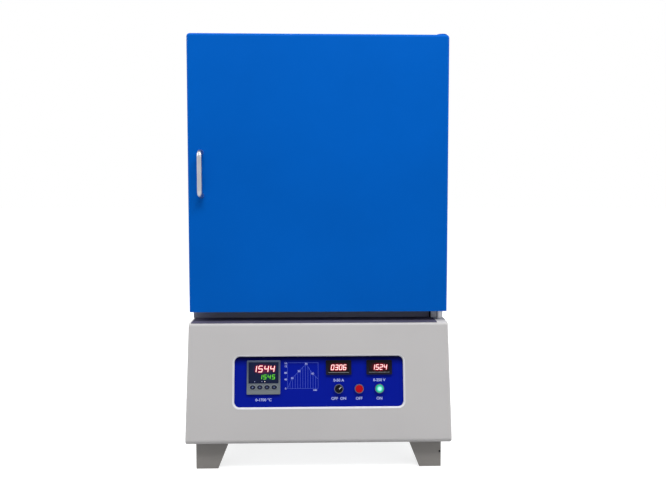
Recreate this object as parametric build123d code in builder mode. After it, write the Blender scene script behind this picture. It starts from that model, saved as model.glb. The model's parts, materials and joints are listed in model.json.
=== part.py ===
from build123d import *
import math
import os

# Muffle furnace: a blue insulated head with one side-hung door, on a light grey control base.
# Frame: +X to the right, -Y towards the front, +Z up; the origin is on the floor under the
# middle. Millimetres.

# ---------------------------------------------------------------- overall sizes
WIDTH = 750  # head, door and the top of the base
DOOR_HEIGHT = 797
DOOR_THICKNESS = 56
DOOR_GAP = 10  # between the door's back and the front frame
HEAD_DEPTH = 640  # front frame to rear cover
NECK_HEIGHT = 28.5
BASE_HEIGHT = 338
BASE_LEDGE = 14  # the base's top edge stands this far in front of the door
BASE_FLARE = 3.5  # the base is wider at the bottom by this much on each side
FRONT_SLOPE = 9.5  # degrees, base front
FOOT_HEIGHT = 78
SHEET = 1.5  # folded sheet steel
FIT = 0.3  # gap between pieces that are slipped together
TOUCH = 0.05  # radial gap of a running fit
OVERCUT = 5  # how far a cutter runs past what it cuts

# ---------------------------------------------------------------- base and control panel
BASE_EDGE = 12  # rolled top and bottom edges of the base front
BASE_SIDE_EDGE = 5
REAR_FLANGE = 18
REAR_LAP = 11  # rear panel over the flange
FLOOR_PLATE = 3
NECK_SHEET = 2
NECK_INSET = 1
WINDOW_WIDTH = 485
WINDOW_HEIGHT = 143.5
WINDOW_RISE = 3  # above the middle of the base front
WINDOW_CORNER = 16
WINDOW_LIP = 6
WINDOW_LIP_EDGE = 4.5
PANEL_RECESS = 10
PANEL_SHEET = 2
PANEL_MARGIN = 12  # panel overlap behind the window

CONTROLLER_SIZE = 96
CONTROLLER_AT = (-159, 12.5)
CONTROLLER_BEZEL = 7
CONTROLLER_BODY = (91, 91, 70)
CONTROLLER_CORNER = 2.5
CONTROLLER_EDGE = 1.5
SCREEN_SIZE = (86, 60)
SCREEN_RISE = 13  # screen centre above the controller's centre
SCREEN_RECESS = 3
GLASS = 2
KEY_SIZE = (16, 12)
KEY_PITCH = 20.4
KEY_DROP = 27.5  # keys below the controller's centre
KEY_COUNT = 4
KEY_POCKET = 4
KEY_TRAVEL = 0.6
KEY_PROUD = 1.2

COLUMN_START = 56.5  # first column of small instruments
COLUMN_PITCH = 58.5
BUTTON_ROW = -21
METER_ROW = 39
METER_SIZE = (73.5, 41.5)
METER_BEZEL = 6
METER_BODY = (68, 38.5, 55)
METER_GLASS = (60, 26)
METER_RECESS = 2.5

BEZEL_RADIUS = 13
BEZEL_HEIGHT = 9
BEZEL_WALL = 1.6
BEZEL_FLOOR = 3
BARREL_RADIUS = 11
BARREL_LENGTH = 34
BARREL_WALL = 2.8
BUTTON_TRAVEL = 3.5
BUTTON_PROUD = 3.5
BUTTON_STEM = 10
STEM_ROOM = 1
KNOB_DISC = 4
KNOB_GRIP = (6.5, 21, 9)
KNOB_ROUND = 1
POINTER_ANGLE = -45

# ---------------------------------------------------------------- feet
FOOT_TOP = 94
FOOT_BOTTOM = 62.5
FOOT_INBOARD = 27  # from the base's side
FOOT_SETBACK = 28  # from the base's nose
FOOT_PLATE = 3
FOOT_SOLE = 4

# ---------------------------------------------------------------- base equipment
TRANSFORMER_AT = (-150, 30)
HEATSINK_AT = (60, 120)
CONTACTOR_AT = (60, -60)
CORE_SIZE = (240, 110, 210)
CORE_LIMB = 42
COIL_WALL = 24
COIL_GAP = 1
HEATSINK_SIZE = (120, 90, 110)
HEATSINK_BACK = 12
FIN_COUNT = 9
FIN_THICKNESS = 3
CONTACTOR_SIZE = (75, 85, 90)
CONTACTOR_BEVEL = 12
FAN_INSET = 185  # fan axis from the head's right side
FAN_SIZE = 120
FAN_DEPTH = 38
FAN_BORE = 57
FAN_HUB = 27
FAN_MOTOR_DEPTH = 12
FAN_STRUT = 8
FAN_STRUTS = 4
FAN_SHAFT = 3
ROTOR_SETBACK = 3
SHAFT_SETBACK = 2
BLADE_COUNT = 7
BLADE_SIZE = (1.8, 20)
BLADE_ROOT = 2  # sunk into the hub
BLADE_PITCH = 38
BLADE_TIP_GAP = 2
GUARD_RINGS = 5
GUARD_BAR = 3
GUARD_SHEET = 2
GLAND_INSET = 115  # gland axis from the head's left side
GLAND_RISE = 60
GLAND_THREAD = 12.5
GLAND_COLLAR = 2
GLAND_HEX = 16.5
GLAND_NUT = 10
GLAND_DOME = 24
GLAND_ROUND = 5
GLAND_BORE = 7
GLAND_INSIDE = 14
GLAND_LOCKNUT = 5

# ---------------------------------------------------------------- head
HEAD_PLAY = 0.5  # door to hinge bracket, above and below
FRAME_SHEET = 2
FRAME_RETURN = 20
PANEL_FOLD = 12
RAIL_SETBACK = 5
AIR_GAP = 28.5
CHAMBER_WIDTH = 300
CHAMBER_DEPTH = 300
TERMINAL_ROOM = 70  # from the elements' ends to the top cover
HOT_FACE = 70
HOT_FLOOR = 50
HOT_ROOF = 60
ROOF_BACKING = 80
FLOOR_BACKING = 100
REAR_BACKING = 100
HEARTH = 20
HEARTH_MARGIN = 4
HEARTH_BEVEL = 2
THROAT = 100
MOUTH_FLARE = 15  # the throat is wider at the front by this much on each side
LOUVRE_LENGTH = 90
LOUVRE_HEIGHT = 12
LOUVRE_RISE = 5
LOUVRE_PITCH = 24
LOUVRE_ROWS = 6
LOUVRE_COLUMNS = 3
LOUVRE_SPACING = 144
LOUVRE_CREST = (0.6, 0.72)  # the hood's curve, as shares of its height and rise
LOUVRE_BAND = 0.31  # from the middle of a panel, as a share of its height
SLOT_SIZE = (60, 6)
SLOT_PITCH = (95, 18)
SLOT_COUNT = (5, 8)

# ---------------------------------------------------------------- heating elements
ELEMENTS_PER_SIDE = 3
ELEMENT_PITCH = 95
ELEMENT_SPAN = 50  # leg to leg
HOT_ROD = 3
SHANK_ROD = 6
ROD_CONE = 12
ELEMENT_BEND = 24.5
ELEMENT_FLOOR_GAP = 63
SHANK_DROP = 22  # shank showing under the roof
SHANK_RISE = 76  # shank above the plug
ELEMENT_WALL_GAP = 22  # rod axis to chamber wall
PLUG_SIZE = (30, 84)
PLUG_HEAD = (44, 93, 10)
CLAMP_SIZE = (20, 22, 14)
CLAMP_DROP = 4  # shank end above the clamp
STRAP = (14, 2)
STRAP_LIFT = 16
SHEATH_RADIUS = 5
SHEATH_REACH = 40
SHEATH_RISE = 40
SHEATH_TAIL = 18
SHEATH_TIP = 4.5
THERMO_HEAD = (20, 30)
THERMO_ROUND = 4

# ---------------------------------------------------------------- door
DOOR_CORNER = 10
DOOR_EDGE = 9
DOOR_LINER = 1.5
DOOR_FILL_INSET = 10
DOOR_FILL_GAP = 2
PLUG_DEPTH = 90
PLUG_CLEARANCE = 5
GASKET_MARGIN = 50  # the rope seal's outer edge round the mouth
GASKET_WIDTH = 30
HANDLE_INSET = 39  # from the door's left edge
HANDLE_SPAN = 122.5
HANDLE_REACH = 36
HANDLE_RADIUS = 7.25
HANDLE_BEND = 15
HANDLE_FOOT = (8, 1)
HINGE_INSET = 19  # pin axis from the door's right edge
PIN_RADIUS = 5
PIN_LENGTH = 18
BUSH_RADIUS = 8
BUSH_LENGTH = 20
BOSS_RADIUS = 7
BRACKET_PLATE = 3
BRACKET_WIDTH = 30
BRACKET_NOSE_INSET = 10
BRACKET_TAIL = 70
MAGNET_SIZE = (40, 9.4, 60)
STRIKE_SIZE = (50, 1.2, 70)
MAGNET_INSET = 45

# ---------------------------------------------------------------- levels and planes that follow
BASE_BOTTOM = FOOT_HEIGHT
BASE_TOP = BASE_BOTTOM + BASE_HEIGHT
HEAD_BOTTOM = BASE_TOP + NECK_HEIGHT
DOOR_TOP = HEAD_BOTTOM + DOOR_HEIGHT
HEAD_TOP = DOOR_TOP + HEAD_PLAY
HALF_WIDTH = WIDTH / 2
BASE_HALF = HALF_WIDTH + BASE_FLARE

SLOPE_SIN = math.sin(math.radians(FRONT_SLOPE))
SLOPE_COS = math.cos(math.radians(FRONT_SLOPE))
BASE_NOSE = BASE_LEDGE + BASE_HEIGHT * SLOPE_SIN / SLOPE_COS
NOSE_ROUND = BASE_EDGE * (1 + SLOPE_SIN - SLOPE_COS) / SLOPE_COS  # taken off by the rolled edge
GLAND_REACH = SHEET + GLAND_NUT + GLAND_DOME
FRONT_REACH = BASE_NOSE - NOSE_ROUND
DEPTH = FRONT_REACH + DOOR_THICKNESS + DOOR_GAP + HEAD_DEPTH + GLAND_REACH
DOOR_FRONT = FRONT_REACH - DEPTH / 2
DOOR_BACK = DOOR_FRONT + DOOR_THICKNESS
BODY_FRONT = DOOR_BACK + DOOR_GAP
BODY_REAR = BODY_FRONT + HEAD_DEPTH
NOSE_Y = DOOR_FRONT - BASE_NOSE
LEDGE_Y = DOOR_FRONT - BASE_LEDGE
FACE = Plane(
    origin=(
        0,
        (NOSE_Y + LEDGE_Y) / 2 + WINDOW_RISE * SLOPE_SIN,
        (BASE_BOTTOM + BASE_TOP) / 2 + WINDOW_RISE * SLOPE_COS,
    ),
    x_dir=(1, 0, 0),
    z_dir=(0, -SLOPE_COS, SLOPE_SIN),
)
PANEL_FACE = FACE.offset(-PANEL_RECESS)
OUTWARD = Axis(FACE.origin, FACE.z_dir)
COLUMNS = [COLUMN_START + COLUMN_PITCH * n for n in range(3)]

CASING_HALF = HALF_WIDTH - SHEET - AIR_GAP
CASING_BOTTOM = HEAD_BOTTOM + SHEET + AIR_GAP
BOARDS_HALF = CASING_HALF - SHEET
BOARDS_BOTTOM = CASING_BOTTOM + SHEET
HOT_HALF = CHAMBER_WIDTH / 2 + HOT_FACE
HOT_BOTTOM = BOARDS_BOTTOM + FLOOR_BACKING
HEARTH_BOTTOM = HOT_BOTTOM + HOT_FLOOR
CHAMBER_BOTTOM = HEARTH_BOTTOM + HEARTH
SHANK_TOP = HEAD_TOP - TERMINAL_ROOM
ROOF_TOP = SHANK_TOP - SHANK_RISE - PLUG_HEAD[2]
HOT_TOP = ROOF_TOP - ROOF_BACKING
CHAMBER_TOP = HOT_TOP - HOT_ROOF
CHAMBER_HEIGHT = CHAMBER_TOP - CHAMBER_BOTTOM
CHAMBER_MID = (CHAMBER_BOTTOM + CHAMBER_TOP) / 2
THROAT_FRONT = BODY_FRONT + FRAME_SHEET
CHAMBER_FRONT = THROAT_FRONT + THROAT
CHAMBER_REAR = CHAMBER_FRONT + CHAMBER_DEPTH
HOT_REAR = CHAMBER_REAR + HOT_FACE
BOARDS_REAR = HOT_REAR + REAR_BACKING
CASING_REAR = BOARDS_REAR + SHEET
MOUTH_WIDTH = CHAMBER_WIDTH + 2 * MOUTH_FLARE
MOUTH_HEIGHT = CHAMBER_HEIGHT + 2 * MOUTH_FLARE

HINGE_X = HALF_WIDTH - HINGE_INSET
HINGE_Y = DOOR_FRONT + DOOR_THICKNESS / 2
DOOR_MID = HEAD_BOTTOM + DOOR_HEIGHT / 2
FAN_X = HALF_WIDTH - FAN_INSET
GLAND_X = -HALF_WIDTH + GLAND_INSET
FAN_Z = (BASE_BOTTOM + BASE_TOP) / 2
GLAND_Z = BASE_BOTTOM + GLAND_RISE
FLOOR_TOP = BASE_BOTTOM + FLOOR_PLATE
CLAMP_TOP = SHANK_TOP - CLAMP_DROP
ELEMENT_X = CHAMBER_WIDTH / 2 - ELEMENT_WALL_GAP
ELEMENT_MID_Y = (CHAMBER_FRONT + CHAMBER_REAR) / 2
ELEMENT_YS = [
    ELEMENT_MID_Y + ELEMENT_PITCH * (n - (ELEMENTS_PER_SIDE - 1) / 2)
    for n in range(ELEMENTS_PER_SIDE)
]


def keep(piece, name):
    """Label a finished piece and write it under its name."""
    piece.part.label = name
    export_step(piece.part, f"parts/{name}.step")


def block(x_ends, y_ends, z_ends, mode=Mode.ADD):
    """Add or cut a box between two ends along each axis."""
    ends = (x_ends, y_ends, z_ends)
    with Locations(tuple((low + high) / 2 for low, high in ends)):
        Box(*[high - low for low, high in ends], mode=mode)


def both(half):
    """The two ends of a width that is centred on zero."""
    return (-half, half)


def louvre_tools():
    """A pressed louvre's hood and the cut under it, on a sheet whose outer face is at Z = 0."""
    with BuildPart() as hood:
        with BuildSketch(Plane.YZ.offset(-LOUVRE_LENGTH / 2)):
            with BuildLine():
                Polyline((0, 0), (LOUVRE_HEIGHT, 0))
                Polyline((0, 0), (0, LOUVRE_RISE))
                ThreePointArc(
                    (0, LOUVRE_RISE),
                    (LOUVRE_HEIGHT * LOUVRE_CREST[0], LOUVRE_RISE * LOUVRE_CREST[1]),
                    (LOUVRE_HEIGHT, 0),
                )
            make_face()
        extrude(amount=LOUVRE_LENGTH)
    with BuildPart() as cut:
        mouth = -SHEET / 10
        heel = LOUVRE_HEIGHT - 2 * SHEET
        with BuildSketch(Plane.YZ.offset(-LOUVRE_LENGTH / 2 + SHEET)):
            with BuildLine():
                Polyline((mouth, LOUVRE_RISE - SHEET), (mouth, -SHEET), (heel, -SHEET), (heel, 0))
                ThreePointArc(
                    (heel, 0),
                    (LOUVRE_HEIGHT / 2, LOUVRE_RISE * LOUVRE_CREST[1] - SHEET),
                    (mouth, LOUVRE_RISE - SHEET),
                )
            make_face()
        extrude(amount=LOUVRE_LENGTH - 2 * SHEET)
    return hood.part, cut.part


def press_louvres(columns, rows, centre):
    """Press a grid of louvres into the sheet being built, opening downwards."""
    hood, cut = louvre_tools()
    spots = [
        (
            centre[0] + LOUVRE_SPACING * (column - (columns - 1) / 2),
            centre[1] + LOUVRE_PITCH * (row - (rows - 1) / 2),
        )
        for column in range(columns)
        for row in range(rows)
    ]
    with Locations(*spots):
        add(hood)
        add(cut, mode=Mode.SUBTRACT)


def base_form(inset):
    """The base's outer form, or the hollow in it when it is drawn in by a sheet's thickness."""
    lean_angle = math.atan2(BASE_FLARE, BASE_HEIGHT)
    with BuildPart() as form:
        with BuildSketch(Plane.YZ) as profile:
            with BuildLine():
                Polyline(
                    (NOSE_Y, BASE_BOTTOM),
                    (BODY_REAR, BASE_BOTTOM),
                    (BODY_REAR, BASE_TOP),
                    (LEDGE_Y, BASE_TOP),
                    close=True,
                )
            make_face()
            if inset:
                offset(amount=-inset, kind=Kind.INTERSECTION, mode=Mode.REPLACE)
            fillet(profile.vertices().sort_by(Axis.X)[:2], BASE_EDGE - inset)
        extrude(amount=BASE_HALF, both=True)
        for side in (1, -1):
            lean = Plane(
                origin=(side * HALF_WIDTH, 0, BASE_TOP),
                x_dir=(0, 1, 0),
                z_dir=(side * math.cos(lean_angle), 0, math.sin(lean_angle)),
            )
            split(bisect_by=lean.offset(-inset), keep=Keep.BOTTOM)
        front = form.faces().sort_by(OUTWARD)[-1]
        fillet(front.edges().filter_by(Axis.X, reverse=True), BASE_SIDE_EDGE - inset)
    return form.part


# ================================================================ base
def make_base():
    with BuildPart() as base_shell:
        add(base_form(0))
        add(base_form(SHEET), mode=Mode.SUBTRACT)
        block(
            both(BASE_HALF - SHEET),
            (NOSE_Y + BASE_EDGE, BODY_REAR - SHEET),
            (BASE_BOTTOM - OVERCUT, BASE_BOTTOM + 2 * SHEET),
            mode=Mode.SUBTRACT,
        )
        block(
            both(HALF_WIDTH - REAR_FLANGE),
            (BODY_REAR - 2 * SHEET, BODY_REAR + SHEET),
            (BASE_BOTTOM + REAR_FLANGE, BASE_TOP - REAR_FLANGE),
            mode=Mode.SUBTRACT,
        )
        with BuildSketch(FACE.offset(-SHEET)):
            RectangleRounded(
                WINDOW_WIDTH + 2 * WINDOW_LIP,
                WINDOW_HEIGHT + 2 * WINDOW_LIP,
                WINDOW_CORNER + WINDOW_LIP,
            )
        extrude(amount=-(PANEL_RECESS - SHEET))
        with BuildSketch(FACE.offset(SHEET)):
            RectangleRounded(WINDOW_WIDTH, WINDOW_HEIGHT, WINDOW_CORNER)
        extrude(amount=-(PANEL_RECESS + SHEET), mode=Mode.SUBTRACT)
        front = base_shell.faces().sort_by(OUTWARD)[-1]
        fillet(front.inner_wires()[0].edges(), WINDOW_LIP_EDGE)
    keep(base_shell, "base_shell")

    with BuildPart() as base_floor:
        block(
            both(BASE_HALF - SHEET - FIT),
            (NOSE_Y + BASE_EDGE + FIT, BODY_REAR - SHEET - FIT),
            (BASE_BOTTOM, FLOOR_TOP),
        )
    keep(base_floor, "base_floor")

    panel_size = (WIDTH - 2 * (REAR_FLANGE - REAR_LAP), BASE_HEIGHT - 2 * (REAR_FLANGE - REAR_LAP))
    rear = Plane(origin=(0, BODY_REAR + SHEET, FAN_Z), x_dir=(-1, 0, 0), z_dir=(0, 1, 0))
    with BuildPart(rear) as base_rear_panel:
        Box(*panel_size, SHEET, align=(Align.CENTER, Align.CENTER, Align.MAX))
        with Locations((-FAN_X, 0)):
            Cylinder(FAN_BORE, 4 * SHEET, mode=Mode.SUBTRACT)
        with Locations((-GLAND_X, GLAND_Z - FAN_Z)):
            Cylinder(GLAND_THREAD + FIT, 4 * SHEET, mode=Mode.SUBTRACT)
        press_louvres(1, LOUVRE_ROWS, (0, 0))
    keep(base_rear_panel, "base_rear_panel")

    with BuildPart() as neck:
        block(
            both(HALF_WIDTH - NECK_INSET),
            (BODY_FRONT + NECK_INSET, BODY_REAR - NECK_INSET),
            (BASE_TOP, HEAD_BOTTOM),
        )
        offset(amount=-NECK_SHEET, openings=neck.faces().sort_by(Axis.Z)[0])
    keep(neck, "neck_plinth")


def make_feet():
    outer = BASE_HALF - FOOT_INBOARD
    front = NOSE_Y + FOOT_SETBACK
    rear = BODY_REAR - FOOT_SETBACK
    with BuildPart() as foot:
        with BuildSketch(Plane.XZ.offset(-front)):
            with BuildLine():
                Polyline(
                    (outer, 0),
                    (outer, FOOT_HEIGHT),
                    (outer - FOOT_TOP, FOOT_HEIGHT),
                    (outer - FOOT_BOTTOM, 0),
                    close=True,
                )
            make_face()
        extrude(amount=-FOOT_PLATE)
        with BuildSketch(Plane.YZ.offset(outer)):
            with BuildLine():
                Polyline(
                    (front, 0),
                    (front, FOOT_HEIGHT),
                    (front + FOOT_TOP, FOOT_HEIGHT),
                    (front + FOOT_BOTTOM, 0),
                    close=True,
                )
            make_face()
        extrude(amount=-FOOT_PLATE)
        block(
            (outer - FOOT_TOP, outer),
            (front, front + FOOT_TOP),
            (FOOT_HEIGHT - FOOT_PLATE, FOOT_HEIGHT),
        )
        block((outer - FOOT_BOTTOM, outer), (front, front + FOOT_BOTTOM), (0, FOOT_SOLE))
    middle = Plane.XZ.offset(-(front + rear) / 2)
    for end in ("front", "rear"):
        for side in ("right", "left"):
            with BuildPart() as copy:
                add(foot.part)
                if end == "rear":
                    mirror(about=middle, mode=Mode.REPLACE)
                if side == "left":
                    mirror(about=Plane.YZ, mode=Mode.REPLACE)
            keep(copy, f"foot_{end}_{side}")


# ================================================================ control panel
def make_panel():
    panel_size = (WINDOW_WIDTH + 2 * PANEL_MARGIN, WINDOW_HEIGHT + 2 * PANEL_MARGIN)
    with BuildPart() as panel:
        with BuildSketch(PANEL_FACE):
            RectangleRounded(*panel_size, WINDOW_CORNER)
            with Locations(CONTROLLER_AT):
                controller_hole = (CONTROLLER_BODY[0] + 2 * FIT, CONTROLLER_BODY[1] + 2 * FIT)
                Rectangle(*controller_hole, mode=Mode.SUBTRACT)
            with Locations((COLUMNS[0], METER_ROW), (COLUMNS[2], METER_ROW)):
                Rectangle(METER_BODY[0] + 2 * FIT, METER_BODY[1] + 2 * FIT, mode=Mode.SUBTRACT)
            with Locations(*[(x, BUTTON_ROW) for x in COLUMNS]):
                Circle(BARREL_RADIUS + FIT, mode=Mode.SUBTRACT)
        extrude(amount=-PANEL_SHEET)
    keep(panel, "control_panel")


def make_controller():
    at_x, at_y = CONTROLLER_AT
    screen_at = (at_x, at_y + SCREEN_RISE)
    keys_at = [
        (at_x + KEY_PITCH * (n - (KEY_COUNT - 1) / 2), at_y - KEY_DROP) for n in range(KEY_COUNT)
    ]
    front = PANEL_FACE.offset(CONTROLLER_BEZEL)
    with BuildPart() as housing:
        with BuildSketch(PANEL_FACE):
            with Locations(CONTROLLER_AT):
                RectangleRounded(CONTROLLER_SIZE, CONTROLLER_SIZE, CONTROLLER_CORNER)
        extrude(amount=CONTROLLER_BEZEL)
        chamfer(housing.faces().sort_by(OUTWARD)[-1].edges(), CONTROLLER_EDGE)
        with BuildSketch(PANEL_FACE):
            with Locations(CONTROLLER_AT):
                Rectangle(CONTROLLER_BODY[0], CONTROLLER_BODY[1])
        extrude(amount=-CONTROLLER_BODY[2])
        with BuildSketch(front):
            with Locations(screen_at):
                Rectangle(*SCREEN_SIZE)
        extrude(amount=-SCREEN_RECESS, mode=Mode.SUBTRACT)
        with BuildSketch(front):
            with Locations(*keys_at):
                Ellipse(KEY_SIZE[0] / 2 + FIT, KEY_SIZE[1] / 2 + FIT)
        extrude(amount=-KEY_POCKET, mode=Mode.SUBTRACT)
    keep(housing, "controller_housing")

    with BuildPart() as window:
        with BuildSketch(front.offset(-SCREEN_RECESS)):
            with Locations(screen_at):
                Rectangle(SCREEN_SIZE[0] - FIT, SCREEN_SIZE[1] - FIT)
        extrude(amount=GLASS)
    keep(window, "controller_window")

    for number, spot in enumerate(keys_at, start=1):
        with BuildPart() as key:
            with BuildSketch(front.offset(-KEY_POCKET + KEY_TRAVEL + FIT)):
                with Locations(spot):
                    Ellipse(KEY_SIZE[0] / 2, KEY_SIZE[1] / 2)
            extrude(amount=KEY_POCKET - KEY_TRAVEL - FIT + KEY_PROUD)
        keep(key, f"controller_key_{number}")


def make_meters():
    for name, column in (("ammeter", 0), ("voltmeter", 2)):
        with BuildPart() as meter:
            with BuildSketch(PANEL_FACE):
                with Locations((COLUMNS[column], METER_ROW)):
                    RectangleRounded(*METER_SIZE, CONTROLLER_CORNER)
            extrude(amount=METER_BEZEL)
            with BuildSketch(PANEL_FACE):
                with Locations((COLUMNS[column], METER_ROW)):
                    Rectangle(METER_BODY[0], METER_BODY[1])
            extrude(amount=-METER_BODY[2])
            with BuildSketch(PANEL_FACE.offset(METER_BEZEL)):
                with Locations((COLUMNS[column], METER_ROW)):
                    Rectangle(*METER_GLASS)
            extrude(amount=-METER_RECESS, mode=Mode.SUBTRACT)
        keep(meter, f"{name}_housing")
    with BuildPart() as windows:
        with BuildSketch(PANEL_FACE.offset(METER_BEZEL - METER_RECESS)):
            with Locations((COLUMNS[0], METER_ROW), (COLUMNS[2], METER_ROW)):
                Rectangle(METER_GLASS[0] - FIT, METER_GLASS[1] - FIT)
        extrude(amount=GLASS)
    keep(windows, "meter_windows")


def make_buttons():
    up = (Align.CENTER, Align.CENTER, Align.MIN)
    down = (Align.CENTER, Align.CENTER, Align.MAX)
    cup_radius = BEZEL_RADIUS - BEZEL_WALL
    stem_radius = BARREL_RADIUS - BARREL_WALL - FIT
    cap_radius = cup_radius - FIT
    cap_bottom = BEZEL_FLOOR + BUTTON_TRAVEL + FIT
    with BuildPart(PANEL_FACE) as bezels:
        with Locations(*[(x, BUTTON_ROW) for x in COLUMNS]):
            Cylinder(BEZEL_RADIUS, BEZEL_HEIGHT, align=up)
            Cylinder(BARREL_RADIUS, BARREL_LENGTH, align=down)
        fillet(bezels.faces().sort_by(OUTWARD)[-3:].edges(), BEZEL_WALL / 3)
        with Locations(*[(x, BUTTON_ROW, BEZEL_FLOOR) for x in COLUMNS]):
            Cylinder(cup_radius, BEZEL_HEIGHT, align=up, mode=Mode.SUBTRACT)
            Cylinder(
                BARREL_RADIUS - BARREL_WALL,
                BEZEL_FLOOR + BUTTON_STEM + BUTTON_TRAVEL + STEM_ROOM,
                align=down,
                mode=Mode.SUBTRACT,
            )
    keep(bezels, "button_bezels")

    for name, column in (("stop_button", 1), ("start_button", 2)):
        with BuildPart(PANEL_FACE) as button:
            with Locations((COLUMNS[column], BUTTON_ROW, cap_bottom)):
                Cylinder(cap_radius, BEZEL_HEIGHT + BUTTON_PROUD - cap_bottom, align=up)
            fillet(button.faces().sort_by(OUTWARD)[-1].edges(), BUTTON_PROUD / 2)
            with Locations((COLUMNS[column], BUTTON_ROW, -BUTTON_STEM)):
                Cylinder(stem_radius, BUTTON_STEM + cap_bottom, align=up)
        keep(button, name)

    with BuildPart(PANEL_FACE) as knob:
        disc_bottom = BEZEL_FLOOR + FIT
        disc_top = BEZEL_HEIGHT + KNOB_DISC - BEZEL_FLOOR
        with Locations((COLUMNS[0], BUTTON_ROW, disc_bottom)):
            Cylinder(cap_radius, disc_top - disc_bottom, align=up)
        with Locations((COLUMNS[0], BUTTON_ROW, -BUTTON_STEM)):
            Cylinder(stem_radius, BUTTON_STEM + disc_bottom, align=up)
        with Locations(Location((COLUMNS[0], BUTTON_ROW, disc_top), (0, 0, POINTER_ANGLE))):
            Box(KNOB_GRIP[0], KNOB_GRIP[1], KNOB_GRIP[2], align=up)
        fillet(knob.faces().sort_by(OUTWARD)[-1].edges(), KNOB_ROUND)
    keep(knob, "selector_knob")


# ================================================================ equipment in the base
def make_transformer():
    wide, deep, tall = CORE_SIZE
    place = Plane(origin=(*TRANSFORMER_AT, FLOOR_TOP))
    window = (wide - 3 * CORE_LIMB) / 2
    window_x = (window + CORE_LIMB) / 2
    low = (Align.CENTER, Align.CENTER, Align.MIN)
    with BuildPart(place) as core:
        Box(wide, deep, tall, align=low)
        with Locations((-window_x, 0, CORE_LIMB), (window_x, 0, CORE_LIMB)):
            Box(window, 2 * deep, tall - 2 * CORE_LIMB, align=low, mode=Mode.SUBTRACT)
    keep(core, "transformer_core")
    coil_tall = tall - 2 * CORE_LIMB - 2 * COIL_GAP
    with BuildPart() as coil:
        with BuildSketch(place.offset(CORE_LIMB + COIL_GAP)):
            RectangleRounded(
                CORE_LIMB + 2 * COIL_WALL, deep + 2 * COIL_WALL, COIL_WALL / 2
            )
            Rectangle(CORE_LIMB + 2 * FIT, deep + 2 * FIT, mode=Mode.SUBTRACT)
        extrude(amount=coil_tall)
    keep(coil, "transformer_coil")


def make_power_parts():
    wide, deep, tall = HEATSINK_SIZE
    low = (Align.CENTER, Align.CENTER, Align.MIN)
    with BuildPart(Plane(origin=(*HEATSINK_AT, FLOOR_TOP))) as heatsink:
        with Locations((0, (deep - HEATSINK_BACK) / 2)):
            Box(wide, HEATSINK_BACK, tall, align=low)
        with GridLocations((wide - FIN_THICKNESS) / (FIN_COUNT - 1), 0, FIN_COUNT, 1):
            Box(FIN_THICKNESS, deep, tall, align=low)
    keep(heatsink, "thyristor_heatsink")
    with BuildPart(Plane(origin=(*CONTACTOR_AT, FLOOR_TOP))) as contactor:
        Box(*CONTACTOR_SIZE, align=low)
        chamfer(contactor.edges().filter_by(Axis.X).group_by(Axis.Z)[-1], CONTACTOR_BEVEL)
    keep(contactor, "contactor")


def make_fan():
    inward = Plane(origin=(FAN_X, BODY_REAR, FAN_Z), x_dir=(1, 0, 0), z_dir=(0, -1, 0))
    low = (Align.CENTER, Align.CENTER, Align.MIN)
    motor_bottom = FAN_DEPTH - FAN_MOTOR_DEPTH
    with BuildPart(inward) as frame:
        Box(FAN_SIZE, FAN_SIZE, FAN_DEPTH, align=low)
        Cylinder(FAN_BORE, FAN_DEPTH, align=low, mode=Mode.SUBTRACT)
        with Locations((0, 0, motor_bottom)):
            Cylinder(FAN_HUB, FAN_MOTOR_DEPTH, align=low)
            with PolarLocations(FAN_BORE / 2, FAN_STRUTS, start_angle=45):
                Box(FAN_BORE + BLADE_ROOT, FAN_STRUT, FAN_STRUT / 2, align=low)
            Cylinder(FAN_SHAFT + TOUCH, FAN_MOTOR_DEPTH, align=low, mode=Mode.SUBTRACT)
    keep(frame, "fan_frame")

    hub_top = motor_bottom - FIT
    blade_reach = FAN_BORE - BLADE_TIP_GAP - FAN_HUB + BLADE_ROOT
    with BuildPart(inward) as rotor:
        with Locations((0, 0, ROTOR_SETBACK)):
            Cylinder(FAN_HUB, hub_top - ROTOR_SETBACK, align=low)
            Cylinder(FAN_SHAFT, FAN_DEPTH - ROTOR_SETBACK - SHAFT_SETBACK, align=low)
        with Locations((0, 0, (ROTOR_SETBACK + hub_top) / 2)):
            with PolarLocations(FAN_HUB - BLADE_ROOT + blade_reach / 2, BLADE_COUNT):
                Box(blade_reach, *BLADE_SIZE, rotation=(BLADE_PITCH, 0, 0))
    keep(rotor, "fan_rotor")

    outward = Plane(origin=(FAN_X, BODY_REAR + SHEET, FAN_Z), x_dir=(-1, 0, 0), z_dir=(0, 1, 0))
    ring_step = (FAN_SIZE / 2 - GUARD_BAR) / GUARD_RINGS
    with BuildPart() as guard:
        with BuildSketch(outward):
            for ring in range(GUARD_RINGS, 0, -1):
                Circle(ring * ring_step + GUARD_BAR)
                Circle(ring * ring_step, mode=Mode.SUBTRACT)
            for turn in (45, -45):
                Rectangle(FAN_SIZE - 2 * GUARD_BAR, GUARD_BAR, rotation=turn)
        extrude(amount=GUARD_SHEET)
    keep(guard, "fan_guard")


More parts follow.
